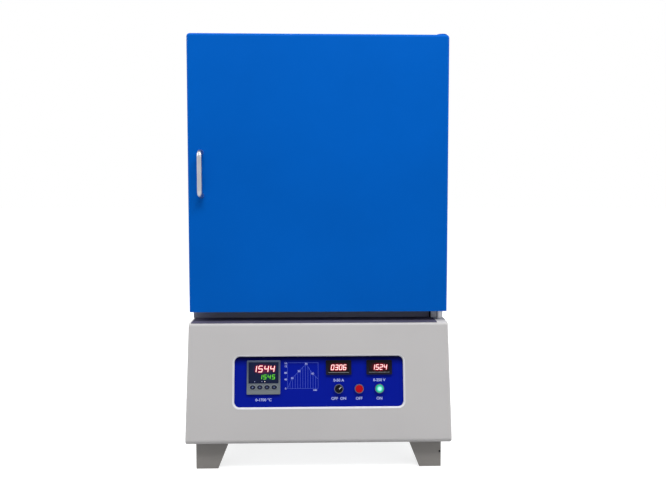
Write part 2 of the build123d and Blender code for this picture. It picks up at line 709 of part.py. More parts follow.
def make_gland():
    outward = Plane(
        origin=(GLAND_X, BODY_REAR + SHEET, GLAND_Z), x_dir=(-1, 0, 0), z_dir=(0, 1, 0)
    )
    with BuildPart() as gland:
        with BuildSketch(outward):
            RegularPolygon(GLAND_HEX, 6)
        extrude(amount=GLAND_NUT)
        with BuildSketch(outward.offset(GLAND_NUT)):
            Circle(GLAND_THREAD + GLAND_COLLAR)
        extrude(amount=GLAND_DOME)
        fillet(gland.faces().sort_by(Axis.Y)[-1].edges(), GLAND_ROUND)
        with BuildSketch(outward):
            Circle(GLAND_THREAD)
        extrude(amount=-GLAND_INSIDE)
        with BuildSketch(outward.offset(-SHEET)):
            RegularPolygon(GLAND_HEX, 6)
        extrude(amount=-GLAND_LOCKNUT)
        with BuildSketch(outward.offset(GLAND_NUT + GLAND_DOME)):
            Circle(GLAND_BORE)
        extrude(amount=-(GLAND_NUT + GLAND_DOME + GLAND_INSIDE), mode=Mode.SUBTRACT)
    keep(gland, "cable_gland")


# ================================================================ head casing
def make_head():
    sheet_half = HALF_WIDTH - SHEET
    with BuildPart() as frame:
        block(
            both(sheet_half),
            (BODY_FRONT, BODY_FRONT + FRAME_RETURN),
            (HEAD_BOTTOM + SHEET, HEAD_TOP - SHEET),
        )
        offset(amount=-FRAME_SHEET, openings=frame.faces().sort_by(Axis.Y)[-1])
        block(
            both(MOUTH_WIDTH / 2),
            (BODY_FRONT - OVERCUT, BODY_FRONT + FRAME_SHEET + OVERCUT),
            (CHAMBER_MID - MOUTH_HEIGHT / 2, CHAMBER_MID + MOUTH_HEIGHT / 2),
            mode=Mode.SUBTRACT,
        )
    keep(frame, "front_frame")

    with BuildPart() as bottom:
        block(both(sheet_half), (BODY_FRONT, BODY_REAR), (HEAD_BOTTOM, HEAD_BOTTOM + SHEET))
        for side in (-1, 1):
            rail = sorted((side * HOT_HALF, side * (HOT_HALF + AIR_GAP)))
            block(
                rail,
                (BODY_FRONT + FRAME_RETURN + RAIL_SETBACK, BOARDS_REAR),
                (HEAD_BOTTOM + SHEET, CASING_BOTTOM),
            )
            block(
                (rail[0] + SHEET, rail[1] - SHEET),
                (BODY_FRONT, CASING_REAR),
                (HEAD_BOTTOM + SHEET, CASING_BOTTOM - SHEET),
                mode=Mode.SUBTRACT,
            )
    keep(bottom, "head_bottom")

    for side, name in ((1, "right"), (-1, "left")):
        outward = Plane(
            origin=(side * HALF_WIDTH, (BODY_FRONT + BODY_REAR) / 2, (HEAD_BOTTOM + HEAD_TOP) / 2),
            x_dir=(0, side, 0),
            z_dir=(side, 0, 0),
        )
        tall = HEAD_TOP - HEAD_BOTTOM
        with BuildPart(outward) as panel:
            Box(HEAD_DEPTH, tall, SHEET, align=(Align.CENTER, Align.CENTER, Align.MAX))
            fold_length = HEAD_DEPTH - 2 * FRAME_RETURN
            fold_height = tall / 2 - 1.5 * SHEET
            with Locations((0, fold_height, -SHEET), (0, -fold_height, -SHEET)):
                Box(fold_length, SHEET, PANEL_FOLD, align=(Align.CENTER, Align.CENTER, Align.MAX))
            for height in both(tall * LOUVRE_BAND):
                press_louvres(LOUVRE_COLUMNS, LOUVRE_ROWS, (0, height))
        keep(panel, f"head_side_{name}")

    rear = Plane(
        origin=(0, BODY_REAR, (HEAD_BOTTOM + HEAD_TOP) / 2), x_dir=(-1, 0, 0), z_dir=(0, 1, 0)
    )
    with BuildPart(rear) as cover:
        Box(
            2 * sheet_half,
            HEAD_TOP - HEAD_BOTTOM - 2 * SHEET,
            SHEET,
            align=(Align.CENTER, Align.CENTER, Align.MAX),
        )
        for height in both((HEAD_TOP - HEAD_BOTTOM) * LOUVRE_BAND):
            press_louvres(LOUVRE_COLUMNS, LOUVRE_ROWS, (0, height))
    keep(cover, "head_rear_cover")

    with BuildPart() as top:
        block(both(sheet_half), (BODY_FRONT, BODY_REAR), (HEAD_TOP - SHEET, HEAD_TOP))
        with Locations((0, (BODY_FRONT + BODY_REAR) / 2, HEAD_TOP)):
            with GridLocations(SLOT_PITCH[0], SLOT_PITCH[1], SLOT_COUNT[0], SLOT_COUNT[1]):
                Box(SLOT_SIZE[0], SLOT_SIZE[1], 4 * SHEET, mode=Mode.SUBTRACT)
    keep(top, "top_cover")

    with BuildPart() as casing:
        block(both(CASING_HALF), (THROAT_FRONT, CASING_REAR), (CASING_BOTTOM, ROOF_TOP))
        offset(
            amount=-SHEET,
            openings=[casing.faces().sort_by(Axis.Y)[0], casing.faces().sort_by(Axis.Z)[-1]],
        )
        with Locations(Location((0, CASING_REAR, CHAMBER_MID + SHEATH_RISE), (90, 0, 0))):
            Cylinder(SHEATH_RADIUS + FIT, 6 * SHEET, mode=Mode.SUBTRACT)
    keep(casing, "inner_casing")


# ================================================================ insulation
def plug_slots():
    """Cut the element plugs' slots through a roof board being built."""
    for side in (-1, 1):
        for y in ELEMENT_YS:
            with Locations((side * ELEMENT_X, y, (CHAMBER_TOP + ROOF_TOP) / 2)):
                Box(
                    PLUG_SIZE[0] + 2 * FIT,
                    PLUG_SIZE[1] + 2 * FIT,
                    ROOF_TOP - CHAMBER_TOP + OVERCUT,
                    mode=Mode.SUBTRACT,
                )


def sheath_hole():
    """Cut the thermocouple's hole through a rear board being built."""
    with Locations(Location((0, HOT_REAR, CHAMBER_MID + SHEATH_RISE), (90, 0, 0))):
        Cylinder(SHEATH_RADIUS + FIT, 2 * (HOT_FACE + REAR_BACKING + OVERCUT), mode=Mode.SUBTRACT)


def make_insulation():
    with BuildPart() as backing:
        block(both(BOARDS_HALF), (CHAMBER_FRONT, BOARDS_REAR), (BOARDS_BOTTOM, HOT_BOTTOM))
        for side in (-1, 1):
            block(
                sorted((side * HOT_HALF, side * BOARDS_HALF)),
                (CHAMBER_FRONT, BOARDS_REAR),
                (HOT_BOTTOM + FIT, HOT_TOP),
            )
        block(both(HOT_HALF - FIT), (HOT_REAR, BOARDS_REAR), (HOT_BOTTOM + FIT, HOT_TOP))
        sheath_hole()
    keep(backing, "backing_boards")

    with BuildPart() as roof:
        block(both(BOARDS_HALF), (CHAMBER_FRONT, BOARDS_REAR), (HOT_TOP, ROOF_TOP))
        plug_slots()
    keep(roof, "backing_roof")

    with BuildPart() as hot_boards:
        block(both(HOT_HALF), (CHAMBER_FRONT, HOT_REAR), (HOT_BOTTOM, HEARTH_BOTTOM))
        for side in (-1, 1):
            block(
                sorted((side * CHAMBER_WIDTH / 2, side * HOT_HALF)),
                (CHAMBER_FRONT, HOT_REAR),
                (HEARTH_BOTTOM + FIT, CHAMBER_TOP),
            )
        block(
            both(CHAMBER_WIDTH / 2 - FIT),
            (CHAMBER_REAR, HOT_REAR),
            (HEARTH_BOTTOM + FIT, CHAMBER_TOP),
        )
        sheath_hole()
    keep(hot_boards, "hot_face_boards")

    with BuildPart() as hot_roof:
        block(both(HOT_HALF), (CHAMBER_FRONT, HOT_REAR), (CHAMBER_TOP, HOT_TOP))
        plug_slots()
    keep(hot_roof, "hot_face_roof")

    with BuildPart() as hearth:
        block(
            both(CHAMBER_WIDTH / 2 - FIT),
            (CHAMBER_FRONT + HEARTH_MARGIN, CHAMBER_REAR - FIT),
            (HEARTH_BOTTOM, CHAMBER_BOTTOM),
        )
        chamfer(hearth.faces().sort_by(Axis.Z)[-1].edges(), HEARTH_BEVEL)
    keep(hearth, "hearth_plate")

    with BuildPart() as throat:
        block(both(BOARDS_HALF), (THROAT_FRONT, CHAMBER_FRONT), (BOARDS_BOTTOM, ROOF_TOP))
        facing = Plane(origin=(0, THROAT_FRONT, CHAMBER_MID), x_dir=(1, 0, 0), z_dir=(0, -1, 0))
        with BuildSketch(facing):
            Rectangle(MOUTH_WIDTH, MOUTH_HEIGHT)
        with BuildSketch(facing.offset(-THROAT)):
            Rectangle(CHAMBER_WIDTH, CHAMBER_HEIGHT)
        loft(mode=Mode.SUBTRACT)
    keep(throat, "throat_block")


# ================================================================ heating elements
def make_elements():
    half = ELEMENT_SPAN / 2
    shank_bottom = CHAMBER_TOP - SHANK_DROP
    hot_bottom = CHAMBER_BOTTOM + ELEMENT_FLOOR_GAP
    with BuildPart() as elements:
        for side in (-1, 1):
            for y in ELEMENT_YS:
                with BuildPart(mode=Mode.PRIVATE) as rod:
                    with BuildLine():
                        line = FilletPolyline(
                            (side * ELEMENT_X, y - half, shank_bottom),
                            (side * ELEMENT_X, y - half, hot_bottom),
                            (side * ELEMENT_X, y + half, hot_bottom),
                            (side * ELEMENT_X, y + half, shank_bottom),
                            radius=ELEMENT_BEND,
                        )
                    with BuildSketch(Plane(origin=line @ 0, z_dir=line % 0)):
                        Circle(HOT_ROD)
                    sweep()
                add(rod.part)
                with Locations(
                    (side * ELEMENT_X, y - half, shank_bottom),
                    (side * ELEMENT_X, y + half, shank_bottom),
                ):
                    Cone(
                        HOT_ROD,
                        SHANK_ROD,
                        ROD_CONE,
                        align=(Align.CENTER, Align.CENTER, Align.MIN),
                    )
                with Locations(
                    (side * ELEMENT_X, y - half, shank_bottom + ROD_CONE),
                    (side * ELEMENT_X, y + half, shank_bottom + ROD_CONE),
                ):
                    Cylinder(
                        SHANK_ROD,
                        SHANK_TOP - shank_bottom - ROD_CONE,
                        align=(Align.CENTER, Align.CENTER, Align.MIN),
                    )
    keep(elements, "heating_elements")

    bore_length = 2 * (ROOF_TOP - CHAMBER_TOP + OVERCUT)
    with BuildPart() as plugs:
        for side in (-1, 1):
            for y in ELEMENT_YS:
                with Locations((side * ELEMENT_X, y, CHAMBER_TOP)):
                    Box(
                        PLUG_SIZE[0],
                        PLUG_SIZE[1],
                        ROOF_TOP - CHAMBER_TOP,
                        align=(Align.CENTER, Align.CENTER, Align.MIN),
                    )
                with Locations((side * ELEMENT_X, y, ROOF_TOP)):
                    Box(*PLUG_HEAD, align=(Align.CENTER, Align.CENTER, Align.MIN))
                with Locations(
                    (side * ELEMENT_X, y - half, ROOF_TOP), (side * ELEMENT_X, y + half, ROOF_TOP)
                ):
                    Cylinder(SHANK_ROD + FIT, bore_length, mode=Mode.SUBTRACT)
    keep(plugs, "element_plugs")

    legs = sorted(y + end for y in ELEMENT_YS for end in (-half, half))
    with BuildPart() as clamps:
        for side in (-1, 1):
            for y in legs:
                with Locations((side * ELEMENT_X, y, CLAMP_TOP)):
                    Box(*CLAMP_SIZE, align=(Align.CENTER, Align.CENTER, Align.MAX))
                    Cylinder(SHANK_ROD + TOUCH, 4 * CLAMP_SIZE[2], mode=Mode.SUBTRACT)
    keep(clamps, "element_clamps")

    strap_out = SHANK_ROD + FIT
    with BuildPart() as straps:
        for side in (-1, 1):
            for first, second in zip(legs[1:-1:2], legs[2:-1:2]):
                start = first + strap_out
                end = second - strap_out
                with BuildSketch(Plane.YZ.offset(side * ELEMENT_X)):
                    with BuildLine():
                        Polyline((start, CLAMP_TOP), (start + STRAP[1], CLAMP_TOP))
                        ThreePointArc(
                            (start + STRAP[1], CLAMP_TOP),
                            ((start + end) / 2, CLAMP_TOP + STRAP_LIFT),
                            (end - STRAP[1], CLAMP_TOP),
                        )
                        Polyline((end - STRAP[1], CLAMP_TOP), (end, CLAMP_TOP))
                        ThreePointArc(
                            (end, CLAMP_TOP),
                            ((start + end) / 2, CLAMP_TOP + STRAP_LIFT + STRAP[1]),
                            (start, CLAMP_TOP),
                        )
                    make_face()
                extrude(amount=STRAP[0] / 2, both=True)
        bridge_half = ELEMENT_X - strap_out
        with BuildSketch(Plane.XZ.offset(-legs[-1])):
            with BuildLine():
                Polyline((-bridge_half, CLAMP_TOP), (-bridge_half + STRAP[1], CLAMP_TOP))
                ThreePointArc(
                    (-bridge_half + STRAP[1], CLAMP_TOP),
                    (0, CLAMP_TOP + STRAP_LIFT),
                    (bridge_half - STRAP[1], CLAMP_TOP),
                )
                Polyline((bridge_half - STRAP[1], CLAMP_TOP), (bridge_half, CLAMP_TOP))
                ThreePointArc(
                    (bridge_half, CLAMP_TOP),
                    (0, CLAMP_TOP + STRAP_LIFT + STRAP[1]),
                    (-bridge_half, CLAMP_TOP),
                )
            make_face()
        extrude(amount=STRAP[0] / 2, both=True)
    keep(straps, "element_straps")

    sheath_z = CHAMBER_MID + SHEATH_RISE
    with BuildPart() as sheath:
        with BuildSketch(Plane.XZ.offset(-(CHAMBER_REAR - SHEATH_REACH))):
            with Locations((0, sheath_z)):
                Circle(SHEATH_RADIUS)
        extrude(amount=-(CASING_REAR + SHEATH_TAIL - CHAMBER_REAR + SHEATH_REACH))
        fillet(sheath.faces().sort_by(Axis.Y)[0].edges(), SHEATH_TIP)
    keep(sheath, "thermocouple_sheath")
    with BuildPart() as thermo:
        with BuildSketch(Plane.XZ.offset(-(CASING_REAR + SHEATH_TAIL))):
            with Locations((0, sheath_z)):
                Circle(THERMO_HEAD[0])
        extrude(amount=-THERMO_HEAD[1])
        fillet(thermo.faces().sort_by(Axis.Y)[-1].edges(), THERMO_ROUND)
    keep(thermo, "thermocouple_head")


# ================================================================ door
def make_door():
    facing = Plane(origin=(0, DOOR_FRONT, DOOR_MID), x_dir=(1, 0, 0), z_dir=(0, -1, 0))
    with BuildPart() as shell:
        with BuildSketch(facing):
            outline = Rectangle(WIDTH, DOOR_HEIGHT)
            fillet(outline.vertices().group_by(Axis.Y)[-1], DOOR_CORNER)
        extrude(amount=-DOOR_THICKNESS)
        front_edges = shell.faces().sort_by(Axis.Y)[0].edges()
        fillet(front_edges.sort_by(Axis.Z)[1:], DOOR_EDGE)
        offset(amount=-SHEET, openings=shell.faces().sort_by(Axis.Y)[-1])
        with Locations((HINGE_X, HINGE_Y, DOOR_MID)):
            Cylinder(BUSH_RADIUS + TOUCH, DOOR_HEIGHT + 2 * OVERCUT, mode=Mode.SUBTRACT)
    keep(shell, "door_shell")

    with BuildPart() as liner:
        block(
            both(HALF_WIDTH - SHEET - FIT),
            (DOOR_BACK - DOOR_LINER, DOOR_BACK),
            (HEAD_BOTTOM + SHEET + FIT, DOOR_TOP - SHEET - FIT),
        )
        top_edges = liner.edges().filter_by(Axis.Y).group_by(Axis.Z)[-1]
        fillet(top_edges, DOOR_CORNER - SHEET)
    keep(liner, "door_liner")

    with BuildPart() as fill:
        block(
            both(HALF_WIDTH - DOOR_FILL_INSET),
            (DOOR_FRONT + SHEET, DOOR_BACK - DOOR_LINER),
            (HEAD_BOTTOM + BUSH_LENGTH + DOOR_FILL_GAP, DOOR_TOP - BUSH_LENGTH - DOOR_FILL_GAP),
        )
    keep(fill, "door_insulation")

    backward = Plane(origin=(0, DOOR_BACK, CHAMBER_MID), x_dir=(-1, 0, 0), z_dir=(0, 1, 0))
    with BuildPart() as plug:
        with BuildSketch(backward):
            Rectangle(MOUTH_WIDTH - 2 * PLUG_CLEARANCE, MOUTH_HEIGHT - 2 * PLUG_CLEARANCE)
        with BuildSketch(backward.offset(PLUG_DEPTH)):
            Rectangle(CHAMBER_WIDTH - 2 * PLUG_CLEARANCE, CHAMBER_HEIGHT - 2 * PLUG_CLEARANCE)
        loft()
    keep(plug, "door_plug")

    with BuildPart() as gasket:
        with BuildSketch(backward):
            RectangleRounded(
                MOUTH_WIDTH + 2 * GASKET_MARGIN, MOUTH_HEIGHT + 2 * GASKET_MARGIN, GASKET_WIDTH
            )
            inner_margin = GASKET_MARGIN - GASKET_WIDTH
            RectangleRounded(
                MOUTH_WIDTH + 2 * inner_margin,
                MOUTH_HEIGHT + 2 * inner_margin,
                GASKET_WIDTH / 2,
                mode=Mode.SUBTRACT,
            )
        extrude(amount=DOOR_GAP - FIT)
    keep(gasket, "door_gasket")

    handle_x = -HALF_WIDTH + HANDLE_INSET
    low = DOOR_MID - HANDLE_SPAN / 2
    high = DOOR_MID + HANDLE_SPAN / 2
    with BuildPart() as handle:
        with BuildLine():
            route = FilletPolyline(
                (handle_x, DOOR_FRONT, low),
                (handle_x, DOOR_FRONT - HANDLE_REACH + HANDLE_RADIUS, low),
                (handle_x, DOOR_FRONT - HANDLE_REACH + HANDLE_RADIUS, high),
                (handle_x, DOOR_FRONT, high),
                radius=HANDLE_BEND,
            )
        with BuildSketch(Plane(origin=route @ 0, z_dir=route % 0)):
            Circle(HANDLE_RADIUS)
        sweep()
        with BuildSketch(facing):
            with Locations((handle_x, -HANDLE_SPAN / 2), (handle_x, HANDLE_SPAN / 2)):
                Circle(HANDLE_FOOT[0])
        extrude(amount=HANDLE_FOOT[1])
    keep(handle, "door_handle")


def make_hinges():
    with BuildPart() as bushes:
        for bottom in (HEAD_BOTTOM, DOOR_TOP - BUSH_LENGTH):
            with Locations((HINGE_X, HINGE_Y, bottom)):
                Cylinder(
                    BUSH_RADIUS, BUSH_LENGTH, align=(Align.CENTER, Align.CENTER, Align.MIN)
                )
                Cylinder(PIN_RADIUS + TOUCH, 4 * BUSH_LENGTH, mode=Mode.SUBTRACT)
    keep(bushes, "hinge_bushes")

    low = (Align.CENTER, Align.CENTER, Align.MIN)
    high = (Align.CENTER, Align.CENTER, Align.MAX)
    nose = DOOR_FRONT + BRACKET_NOSE_INSET
    with BuildPart() as upper:
        with BuildSketch(Plane.XY.offset(HEAD_TOP)):
            with BuildLine():
                Polyline(
                    (HINGE_X - BRACKET_WIDTH / 2, BODY_FRONT + BRACKET_TAIL),
                    (HINGE_X - BRACKET_WIDTH / 2, nose + BRACKET_WIDTH / 2),
                )
                ThreePointArc(
                    (HINGE_X - BRACKET_WIDTH / 2, nose + BRACKET_WIDTH / 2),
                    (HINGE_X, nose),
                    (HINGE_X + BRACKET_WIDTH / 2, nose + BRACKET_WIDTH / 2),
                )
                Polyline(
                    (HINGE_X + BRACKET_WIDTH / 2, nose + BRACKET_WIDTH / 2),
                    (HINGE_X + BRACKET_WIDTH / 2, BODY_FRONT + BRACKET_TAIL),
                    (HINGE_X - BRACKET_WIDTH / 2, BODY_FRONT + BRACKET_TAIL),
                )
            make_face()
        extrude(amount=BRACKET_PLATE)
        with Locations((HINGE_X, HINGE_Y, HEAD_TOP)):
            Cylinder(PIN_RADIUS, PIN_LENGTH, align=high)
    keep(upper, "hinge_upper_bracket")

    with BuildPart() as lower:
        block(
            (HINGE_X - BRACKET_WIDTH / 2, HINGE_X + BRACKET_WIDTH / 2),
            (DOOR_FRONT + BRACKET_NOSE_INSET, BODY_FRONT + NECK_INSET),
            (BASE_TOP, BASE_TOP + BRACKET_PLATE),
        )
        with Locations((HINGE_X, HINGE_Y, BASE_TOP + BRACKET_PLATE)):
            Cylinder(BOSS_RADIUS, NECK_HEIGHT - BRACKET_PLATE - HEAD_PLAY, align=low)
            Cylinder(PIN_RADIUS, NECK_HEIGHT - BRACKET_PLATE + PIN_LENGTH, align=low)
    keep(lower, "hinge_lower_bracket")

    magnet_x = -HALF_WIDTH + MAGNET_INSET
    with BuildPart() as magnet:
        block(
            (magnet_x - MAGNET_SIZE[0] / 2, magnet_x + MAGNET_SIZE[0] / 2),
            (BODY_FRONT - DOOR_GAP + STRIKE_SIZE[1] + FIT, BODY_FRONT),
            (DOOR_MID - MAGNET_SIZE[2] / 2, DOOR_MID + MAGNET_SIZE[2] / 2),
        )
    keep(magnet, "door_magnet")
    with BuildPart() as strike:
        block(
            (magnet_x - STRIKE_SIZE[0] / 2, magnet_x + STRIKE_SIZE[0] / 2),
            (DOOR_BACK, DOOR_BACK + STRIKE_SIZE[1]),
            (DOOR_MID - STRIKE_SIZE[2] / 2, DOOR_MID + STRIKE_SIZE[2] / 2),
        )
    keep(strike, "strike_plate")


os.makedirs("parts", exist_ok=True)
make_base()
make_feet()
make_panel()
make_controller()
make_meters()
make_buttons()
make_transformer()
make_power_parts()
make_fan()
make_gland()
make_head()
make_insulation()
make_elements()
make_door()
make_hinges()
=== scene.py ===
"""Looks of the muffle furnace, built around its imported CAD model."""

import json
import logging
import math
from dataclasses import dataclass, field, replace
from enum import Enum

import bmesh
import bpy
from bmesh.types import BMesh, BMVert
from bpy.types import Material, Node, NodeTree
from mathutils import Matrix, Vector

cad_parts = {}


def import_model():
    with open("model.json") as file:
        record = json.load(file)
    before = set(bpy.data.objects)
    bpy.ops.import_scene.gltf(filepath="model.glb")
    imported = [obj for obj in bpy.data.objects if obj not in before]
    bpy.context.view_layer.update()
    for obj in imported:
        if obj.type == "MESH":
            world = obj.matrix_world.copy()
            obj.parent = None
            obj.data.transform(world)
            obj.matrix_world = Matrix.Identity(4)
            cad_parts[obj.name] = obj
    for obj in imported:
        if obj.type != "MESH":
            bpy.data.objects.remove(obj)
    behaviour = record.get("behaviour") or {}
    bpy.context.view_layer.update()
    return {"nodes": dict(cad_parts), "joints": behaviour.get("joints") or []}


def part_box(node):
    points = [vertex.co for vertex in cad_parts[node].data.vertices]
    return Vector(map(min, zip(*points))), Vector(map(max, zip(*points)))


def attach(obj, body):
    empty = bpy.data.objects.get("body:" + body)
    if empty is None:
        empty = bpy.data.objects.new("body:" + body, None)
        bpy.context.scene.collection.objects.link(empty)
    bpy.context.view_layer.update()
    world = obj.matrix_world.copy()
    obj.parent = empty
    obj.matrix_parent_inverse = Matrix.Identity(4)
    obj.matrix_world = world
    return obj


LOG = logging.getLogger("furnace")
MM = 0.001
SENSOR_WIDTH = 36.0
CABINET = "cabinet"
CONTROLLER_AT = (-159 * MM, 12.5 * MM)  # the controller's centre from the window's centre
COLUMNS = (56.5 * MM, 115 * MM, 173.5 * MM)  # selector, stop and start, from the window's centre
METER_ROW = 39 * MM
BUTTON_ROW = -21 * MM
CAPITAL_SHARE = 0.73  # a capital's height as a share of the type size
BOLDNESS = 0.035  # how far the letters are thickened, as a share of a capital's height
DISC_SIDES = 20
PRINT = 0.15 * MM  # thickness of printing ink as it is modelled
PRINT_GAP = 0.03 * MM


# ------------------------------------------------------------------ colours and finishes
def srgb(red: int, green: int, blue: int) -> tuple[float, float, float]:
    """Turns a display colour into linear light.

    Args:
        red: red from 0 to 255.
        green: green from 0 to 255.
        blue: blue from 0 to 255.

    Returns:
        The three linear values.
    """
    def linear(value: float) -> float:
        """One channel in linear light."""
        share = value / 255
        return share / 12.92 if share <= 0.04045 else ((share + 0.055) / 1.055) ** 2.4

    return linear(red), linear(green), linear(blue)


class Tree:
    """A node tree, with short ways to add to it."""

    def __init__(self, tree: NodeTree) -> None:
        """Keeps the tree."""
        self.tree = tree

    def add(self, kind: str, inputs: dict | None = None) -> Node:
        """Adds one node.

        Args:
            kind: its type's name.
            inputs: plain values for its inputs, by name or number.

        Returns:
            The node.
        """
        node = self.tree.nodes.new(kind)
        for name, value in (inputs or {}).items():
            node.inputs[name].default_value = value
        return node

    def join(self, operation: str, first: tuple, second: tuple | None = None) -> Node:
        """Adds a calculation on other nodes' outputs.

        Args:
            operation: which calculation.
            first: a node and its output.
            second: the other node and its output.

        Returns:
            The calculation's node.
        """
        node = self.add("ShaderNodeMath")
        node.operation = operation
        self.link(*first, node, 0)
        if second:
            self.link(*second, node, 1)
        return node

    def link(self, source: Node, output: str | int, target: Node, name: str | int) -> None:
        """Joins an output to an input, both by name or number."""
        self.tree.links.new(source.outputs[output], target.inputs[name])


class Nodes(Tree):
    """A new material's node tree, around one shader."""

    def __init__(self, name: str) -> None:
        """Starts an empty material.

        Args:
            name: the material's name.
        """
        self.material = bpy.data.materials.new(name)
        self.material.use_nodes = True
        super().__init__(self.material.node_tree)
        self.tree.nodes.clear()
        output = self.add("ShaderNodeOutputMaterial")
        self.shader = self.add("ShaderNodeBsdfPrincipled")
        self.link(self.shader, "BSDF", output, "Surface")
        self.coordinates = self.add("ShaderNodeTexCoord")

    def fix(self, name: str, value: float | tuple) -> None:
        """Sets a plain value on one of the shader's inputs."""
        self.shader.inputs[name].default_value = value

    def position(self) -> Node:
        """Adds the object's own coordinates, split into X, Y and Z.

        Returns:
            The splitting node.
        """
        split = self.add("ShaderNodeSeparateXYZ")
        self.link(self.coordinates, "Object", split, "Vector")
        return split

    def mapping(self, inputs: dict) -> Node:
        """Adds the object's own coordinates, moved, turned or scaled.

        Args:
            inputs: the mapping's values, by name.

        Returns:
            The mapping node.
        """
        mapping = self.add("ShaderNodeMapping", inputs)
        self.link(self.coordinates, "Object", mapping, "Vector")
        return mapping

    def noise(self, scale: float, detail: float, stretch: tuple = (1, 1, 1)) -> Node:
        """Adds a noise pattern on the object's own coordinates.

        Args:
            scale: how many blobs to the metre.
            detail: how many finer layers it has.
            stretch: how much closer the blobs stand along each axis.

        Returns:
            The noise node.
        """
        noise = self.add("ShaderNodeTexNoise", {"Scale": scale, "Detail": detail})
        self.link(self.mapping({"Scale": stretch}), "Vector", noise, "Vector")
        return noise

    def ramp(
        self, source: Node, low: tuple, high: tuple, ends: tuple = (0.3, 0.7)
    ) -> Node:
        """Turns a pattern into a run of two colours.

        Args:
            source: the pattern's node, whose first output is read.
            low: the colour at the low end.
            high: the colour at the high end.
            ends: where the run starts and stops.

        Returns:
            The ramp node.
        """
        ramp = self.add("ShaderNodeValToRGB")
        for stop, place, colour in zip(ramp.color_ramp.elements, ends, (low, high)):
            stop.position = place
            stop.color = (*colour, 1)
        self.link(source, 0, ramp, "Fac")
        return ramp

    def tint(
        self, source: Node, low: tuple, high: tuple, ends: tuple = (0.3, 0.7),
        socket: str = "Base Color",
    ) -> None:
        """Colours the surface by a pattern.

        Args:
            source: the pattern's node, whose first output is read.
            low: the colour at the low end.
            high: the colour at the high end.
            ends: where the run starts and stops.
            socket: the shader's input that takes the colour.
        """
        self.link(self.ramp(source, low, high, ends), "Color", self.shader, socket)

    def vary_roughness(self, source: Node, low: float, high: float) -> None:
        """Maps a pattern's middle range onto the roughness.

        Args:
            source: the pattern's node, whose first output is read.
            low: the roughness at the low end.
            high: the roughness at the high end.
        """
        span = {"From Min": 0.3, "From Max": 0.7, "To Min": low, "To Max": high}
        spread = self.add("ShaderNodeMapRange", span)
        self.link(source, 0, spread, "Value")
        self.link(spread, "Result", self.shader, "Roughness")

    def bump(self, source: Node, strength: float, distance: float) -> None:
        """Raises the surface by a pattern.

        Args:
            source: the pattern's node, whose first output is read.
            strength: how much of the bump shows.
            distance: its height in metres.
        """
        bump = self.add("ShaderNodeBump", {"Strength": strength, "Distance": distance})
        self.link(source, 0, bump, "Height")
        self.link(bump, "Normal", self.shader, "Normal")


def shade(colour: tuple, factor: float) -> tuple[float, float, float]:
    """A colour made darker or lighter by a factor."""
    return tuple(min(1.0, channel * factor) for channel in colour)


@dataclass(frozen=True)
class Paint:
    """Powder coat: fine orange peel, slow drifts of colour and uneven gloss."""

    name: str
    colour: tuple[float, float, float]
    roughness: float
    drift: float
    peel: float
    specular: float

    def make(self) -> Material:
        """Builds the material.

        Returns:
            The material.
        """
        nodes = Nodes(self.name)
        low, high = (shade(self.colour, 1 + sign * self.drift) for sign in (-1, 1))
        nodes.tint(nodes.noise(3.5, 4), low, high)
        nodes.vary_roughness(nodes.noise(14, 5), self.roughness - 0.04, self.roughness + 0.06)
        nodes.fix("Specular IOR Level", self.specular)
        nodes.bump(nodes.noise(900, 2), self.peel, 0.00012)
        return nodes.material


@dataclass(frozen=True)
class Metal:
    """Bare or plated metal with brushed or rolled streaks."""

    name: str
    colour: tuple[float, float, float]
    roughness: float
    stretch: tuple[float, float, float]
    streak: float
    metallic: float = 1.0

    def make(self) -> Material:
        """Builds the material.

        Returns:
            The material.
        """
        nodes = Nodes(self.name)
        streaks = nodes.noise(60, 4, self.stretch)
        low, high = (shade(self.colour, 1 + sign * self.streak) for sign in (-1, 1))
        nodes.tint(streaks, low, high)
        nodes.vary_roughness(nodes.noise(25, 3), self.roughness - 0.07, self.roughness + 0.1)
        nodes.fix("Metallic", self.metallic)
        nodes.bump(streaks, 0.12, 0.00008)
        return nodes.material


@dataclass(frozen=True)
class FootedMetal:
    """Satin metal whose thin feet are painted like the sheet that they stand on."""

    name: str
    colour: tuple[float, float, float]
    paint: tuple[float, float, float]
    feet: float
    roughness: float = 0.34

    def make(self) -> Material:
        """Builds the material.

        Returns:
            The material.
        """
        nodes = Nodes(self.name)
        bare = nodes.join("LESS_THAN", (nodes.position(), "Y"))
        bare.inputs[1].default_value = self.feet
        nodes.link(bare, "Value", nodes.shader, "Metallic")
        nodes.tint(bare, self.paint, self.colour, (0.0, 1.0))
        nodes.vary_roughness(nodes.noise(25, 3), self.roughness - 0.07, self.roughness + 0.1)
        return nodes.material


@dataclass(frozen=True)
class Plastic:
    """Moulded plastic or rubber with a fine grain."""

    name: str
    colour: tuple[float, float, float]
    roughness: float
    grain: float
    specular: float = 0.25

    def make(self) -> Material:
        """Builds the material.

        Returns:
            The material.
        """
        nodes = Nodes(self.name)
        nodes.tint(nodes.noise(40, 3), shade(self.colour, 0.93), shade(self.colour, 1.07))
        nodes.vary_roughness(nodes.noise(120, 3), self.roughness - 0.05, self.roughness + 0.08)
        nodes.fix("Specular IOR Level", self.specular)
        nodes.bump(nodes.noise(2600, 2), self.grain, 0.00008)
        return nodes.material


